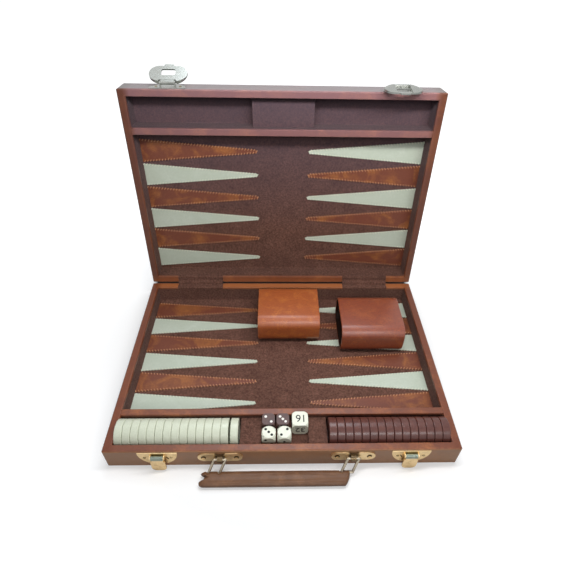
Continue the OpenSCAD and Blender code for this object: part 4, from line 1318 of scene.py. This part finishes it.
class BOARD_OT_stage(bpy.types.Operator):
    """Put up the floor, the lamps, the room light and the camera"""

    bl_idname = "board.stage"
    bl_label = "Stage"

    def execute(self, context):
        scene = context.scene
        s = scene.board_stage
        scene.view_settings.view_transform = "Standard"
        self.camera(scene)
        self.room(scene, s.room_light)
        self.floor()
        tube_aim, case_middle, cool = (0.05, 0.06, 0.12), (0, 0, 0.04), (0.84, 0.92, 1.0)
        self.lamp("tube_lamp", s.tube_power, (0.5, 0.04), (0.07, -0.068, 0.488), tube_aim, mirrored=False)
        self.lamp("front_lamp", s.front_power, (0.8, 0.26), (0.18, -0.96, 0.9), case_middle)
        self.lamp("back_lamp", s.back_power, (0.55, 0.6), (0.02, 0.505, 1.2), case_middle, cool)
        return {"FINISHED"}

    @staticmethod
    def camera(scene):
        """Camera at the picture's place and angle. VIEW_TURN is the axis, as long as the angle in radians."""
        into = Quaternion(VIEW_TURN.normalized(), VIEW_TURN.length).to_matrix()
        lens = bpy.data.cameras.new("view")
        lens.sensor_width = 36.0
        lens.lens = VIEW_LENS
        lens.clip_start = 0.01
        camera = bpy.data.objects.new("view", lens)
        rotation = into.transposed() @ Matrix.Diagonal((1, -1, -1))
        camera.matrix_world = Matrix.Translation(VIEW_PLACE) @ rotation.to_4x4()
        scene.collection.objects.link(camera)
        scene.camera = camera

    @staticmethod
    def seen(tree, glossy):
        """1 for rays that show the background, less for mirrored ones, 0 for rays that light the object."""
        rays = tree.node("ShaderNodeLightPath").outputs
        mirrored = tree.math("MULTIPLY", rays["Is Glossy Ray"], glossy)
        shown = tree.math("MAXIMUM", rays["Is Camera Ray"], mirrored)
        return tree.math("MAXIMUM", shown, rays["Is Transmission Ray"])

    def room(self, scene, strength):
        world = bpy.data.worlds.new("room")
        world.use_nodes = True
        scene.world = world
        tree = Tree(world.node_tree)
        background = world.node_tree.nodes["Background"]
        background.inputs["Color"].default_value = (1, 1, 1, 1)
        level = tree.spread(self.seen(tree, 0.75), 0.0, 1.0, strength, 1.0)
        tree.link(level, background.inputs["Strength"])

    def floor(self):
        """Pale floor that keeps the shadow near the object and turns to plain white further off.

        Under the case and close round its sides and back it carries a painted shadow, dark as seen through
        the gap at the hinges.
        """
        bm = bmesh.new()
        bmesh.ops.create_grid(bm, x_segments=1, y_segments=1, size=6.0)
        finish = Finish("stage_floor", Roughness=1.0, Specular_IOR_Level=0.0, Emission_Color=(1, 1, 1, 1))
        tree = finish.tree
        axes = tree.axes(finish.vector)
        clear = self.clear_of_painted_shadow(tree, axes["X"], axes["Y"])
        grain = tree.noise(finish.vector, 3.0, 2.0)
        colour = tree.mix(grain, (0.56, 0.56, 0.56, 1), (0.58, 0.58, 0.58, 1))
        # Painted shadow: the floor turns dark under and close round the case
        colour = tree.mix(clear, (0.05, 0.042, 0.038, 1), colour)
        tree.link(colour, finish.shader.inputs["Base Color"])
        away = tree.node("ShaderNodeVectorMath", {0: finish.vector}, operation="LENGTH").outputs["Value"]
        glow = tree.math("MULTIPLY", self.seen(tree, 0.35), tree.spread(away, 0.2, 0.42, 0.42, 0.97))
        glow = tree.math("MULTIPLY", glow, clear)
        tree.link(glow, finish.shader.inputs["Emission Strength"])
        floor = make_piece(bm, "floor", [finish.material], None, None)

    @staticmethod
    def clear_of_painted_shadow(tree, x, y):
        """1 on the open floor and 0 in a painted shadow close to the case, which narrows to the front and
        back.
        """
        half_width, front, back, soft = 0.2, -0.128, 0.2275, 0.004
        to_back = tree.math("MAXIMUM", tree.math("SUBTRACT", y, 0.18), 0.0)
        to_front = tree.math("MAXIMUM", tree.math("SUBTRACT", -0.08, y), 0.0)
        narrowed = tree.math("MULTIPLY", to_front, 0.3)
        narrowed = tree.math("ADD", tree.math("MULTIPLY", to_back, 0.22), narrowed)
        beside = tree.math("ADD", tree.math("SUBTRACT", tree.math("ABSOLUTE", x), half_width), narrowed)
        behind = tree.math("MULTIPLY", tree.math("SUBTRACT", y, back), 0.0762)
        before = tree.math("SUBTRACT", front, y)
        outside = tree.math("MAXIMUM", tree.math("MAXIMUM", beside, behind), before)
        return tree.spread(outside, -soft, soft)

    @staticmethod
    def lamp(name, power, size, place, aim, colour=(1, 1, 1), mirrored=True):
        """A square-edged lamp at a place that shines on its aim, hidden from the camera."""
        light = bpy.data.lights.new(name, "AREA")
        light.energy = power
        light.color = colour
        light.shape = "RECTANGLE"
        light.size, light.size_y = size
        lamp = bpy.data.objects.new(name, light)
        lamp.visible_camera = False
        lamp.visible_glossy = mirrored
        way = (Vector(aim) - Vector(place)).to_track_quat("-Z", "Y").to_matrix().to_4x4()
        lamp.matrix_world = Matrix.Translation(place) @ way
        bpy.context.scene.collection.objects.link(lamp)


# Panel and registration

MAKERS = (
    BOARD_OT_stage, BOARD_OT_case, BOARD_OT_felt, BOARD_OT_points, BOARD_OT_cups,
    BOARD_OT_handle, BOARD_OT_latches, BOARD_OT_dice, BOARD_OT_checkers,
)


class BOARD_PT_panel(bpy.types.Panel):
    """Sidebar panel that lists the settings and the pieces"""

    bl_idname = "BOARD_PT_panel"
    bl_label = "Backgammon case"
    bl_space_type = "VIEW_3D"
    bl_region_type = "UI"
    bl_category = "Backgammon"

    def draw(self, context):
        layout = self.layout
        for maker in MAKERS:
            layout.operator(maker.bl_idname)
        for settings in (context.scene.board_colours, context.scene.board_sizes, context.scene.board_stage):
            column = layout.column(align=True)
            for name in settings.bl_rna.properties.keys():
                if name not in ("rna_type", "name"):
                    column.prop(settings, name)


CLASSES = (BoardColours, BoardSizes, StageSettings, *MAKERS, BOARD_PT_panel)


def register():
    for kind in CLASSES:
        bpy.utils.register_class(kind)
    bpy.types.Scene.board_colours = bpy.props.PointerProperty(type=BoardColours)
    bpy.types.Scene.board_sizes = bpy.props.PointerProperty(type=BoardSizes)
    bpy.types.Scene.board_stage = bpy.props.PointerProperty(type=StageSettings)


def unregister():
    del bpy.types.Scene.board_colours
    del bpy.types.Scene.board_sizes
    del bpy.types.Scene.board_stage
    for kind in reversed(CLASSES):
        bpy.utils.unregister_class(kind)


def main():
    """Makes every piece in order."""
    register()
    bpy.ops.board.stage()
    bpy.ops.board.case()
    bpy.ops.board.felt()
    bpy.ops.board.points()
    bpy.ops.board.cups()
    bpy.ops.board.handle()
    bpy.ops.board.latches()
    bpy.ops.board.dice()
    bpy.ops.board.checkers()
    bpy.context.view_layer.update()


if __name__ == "__main__":
    main()
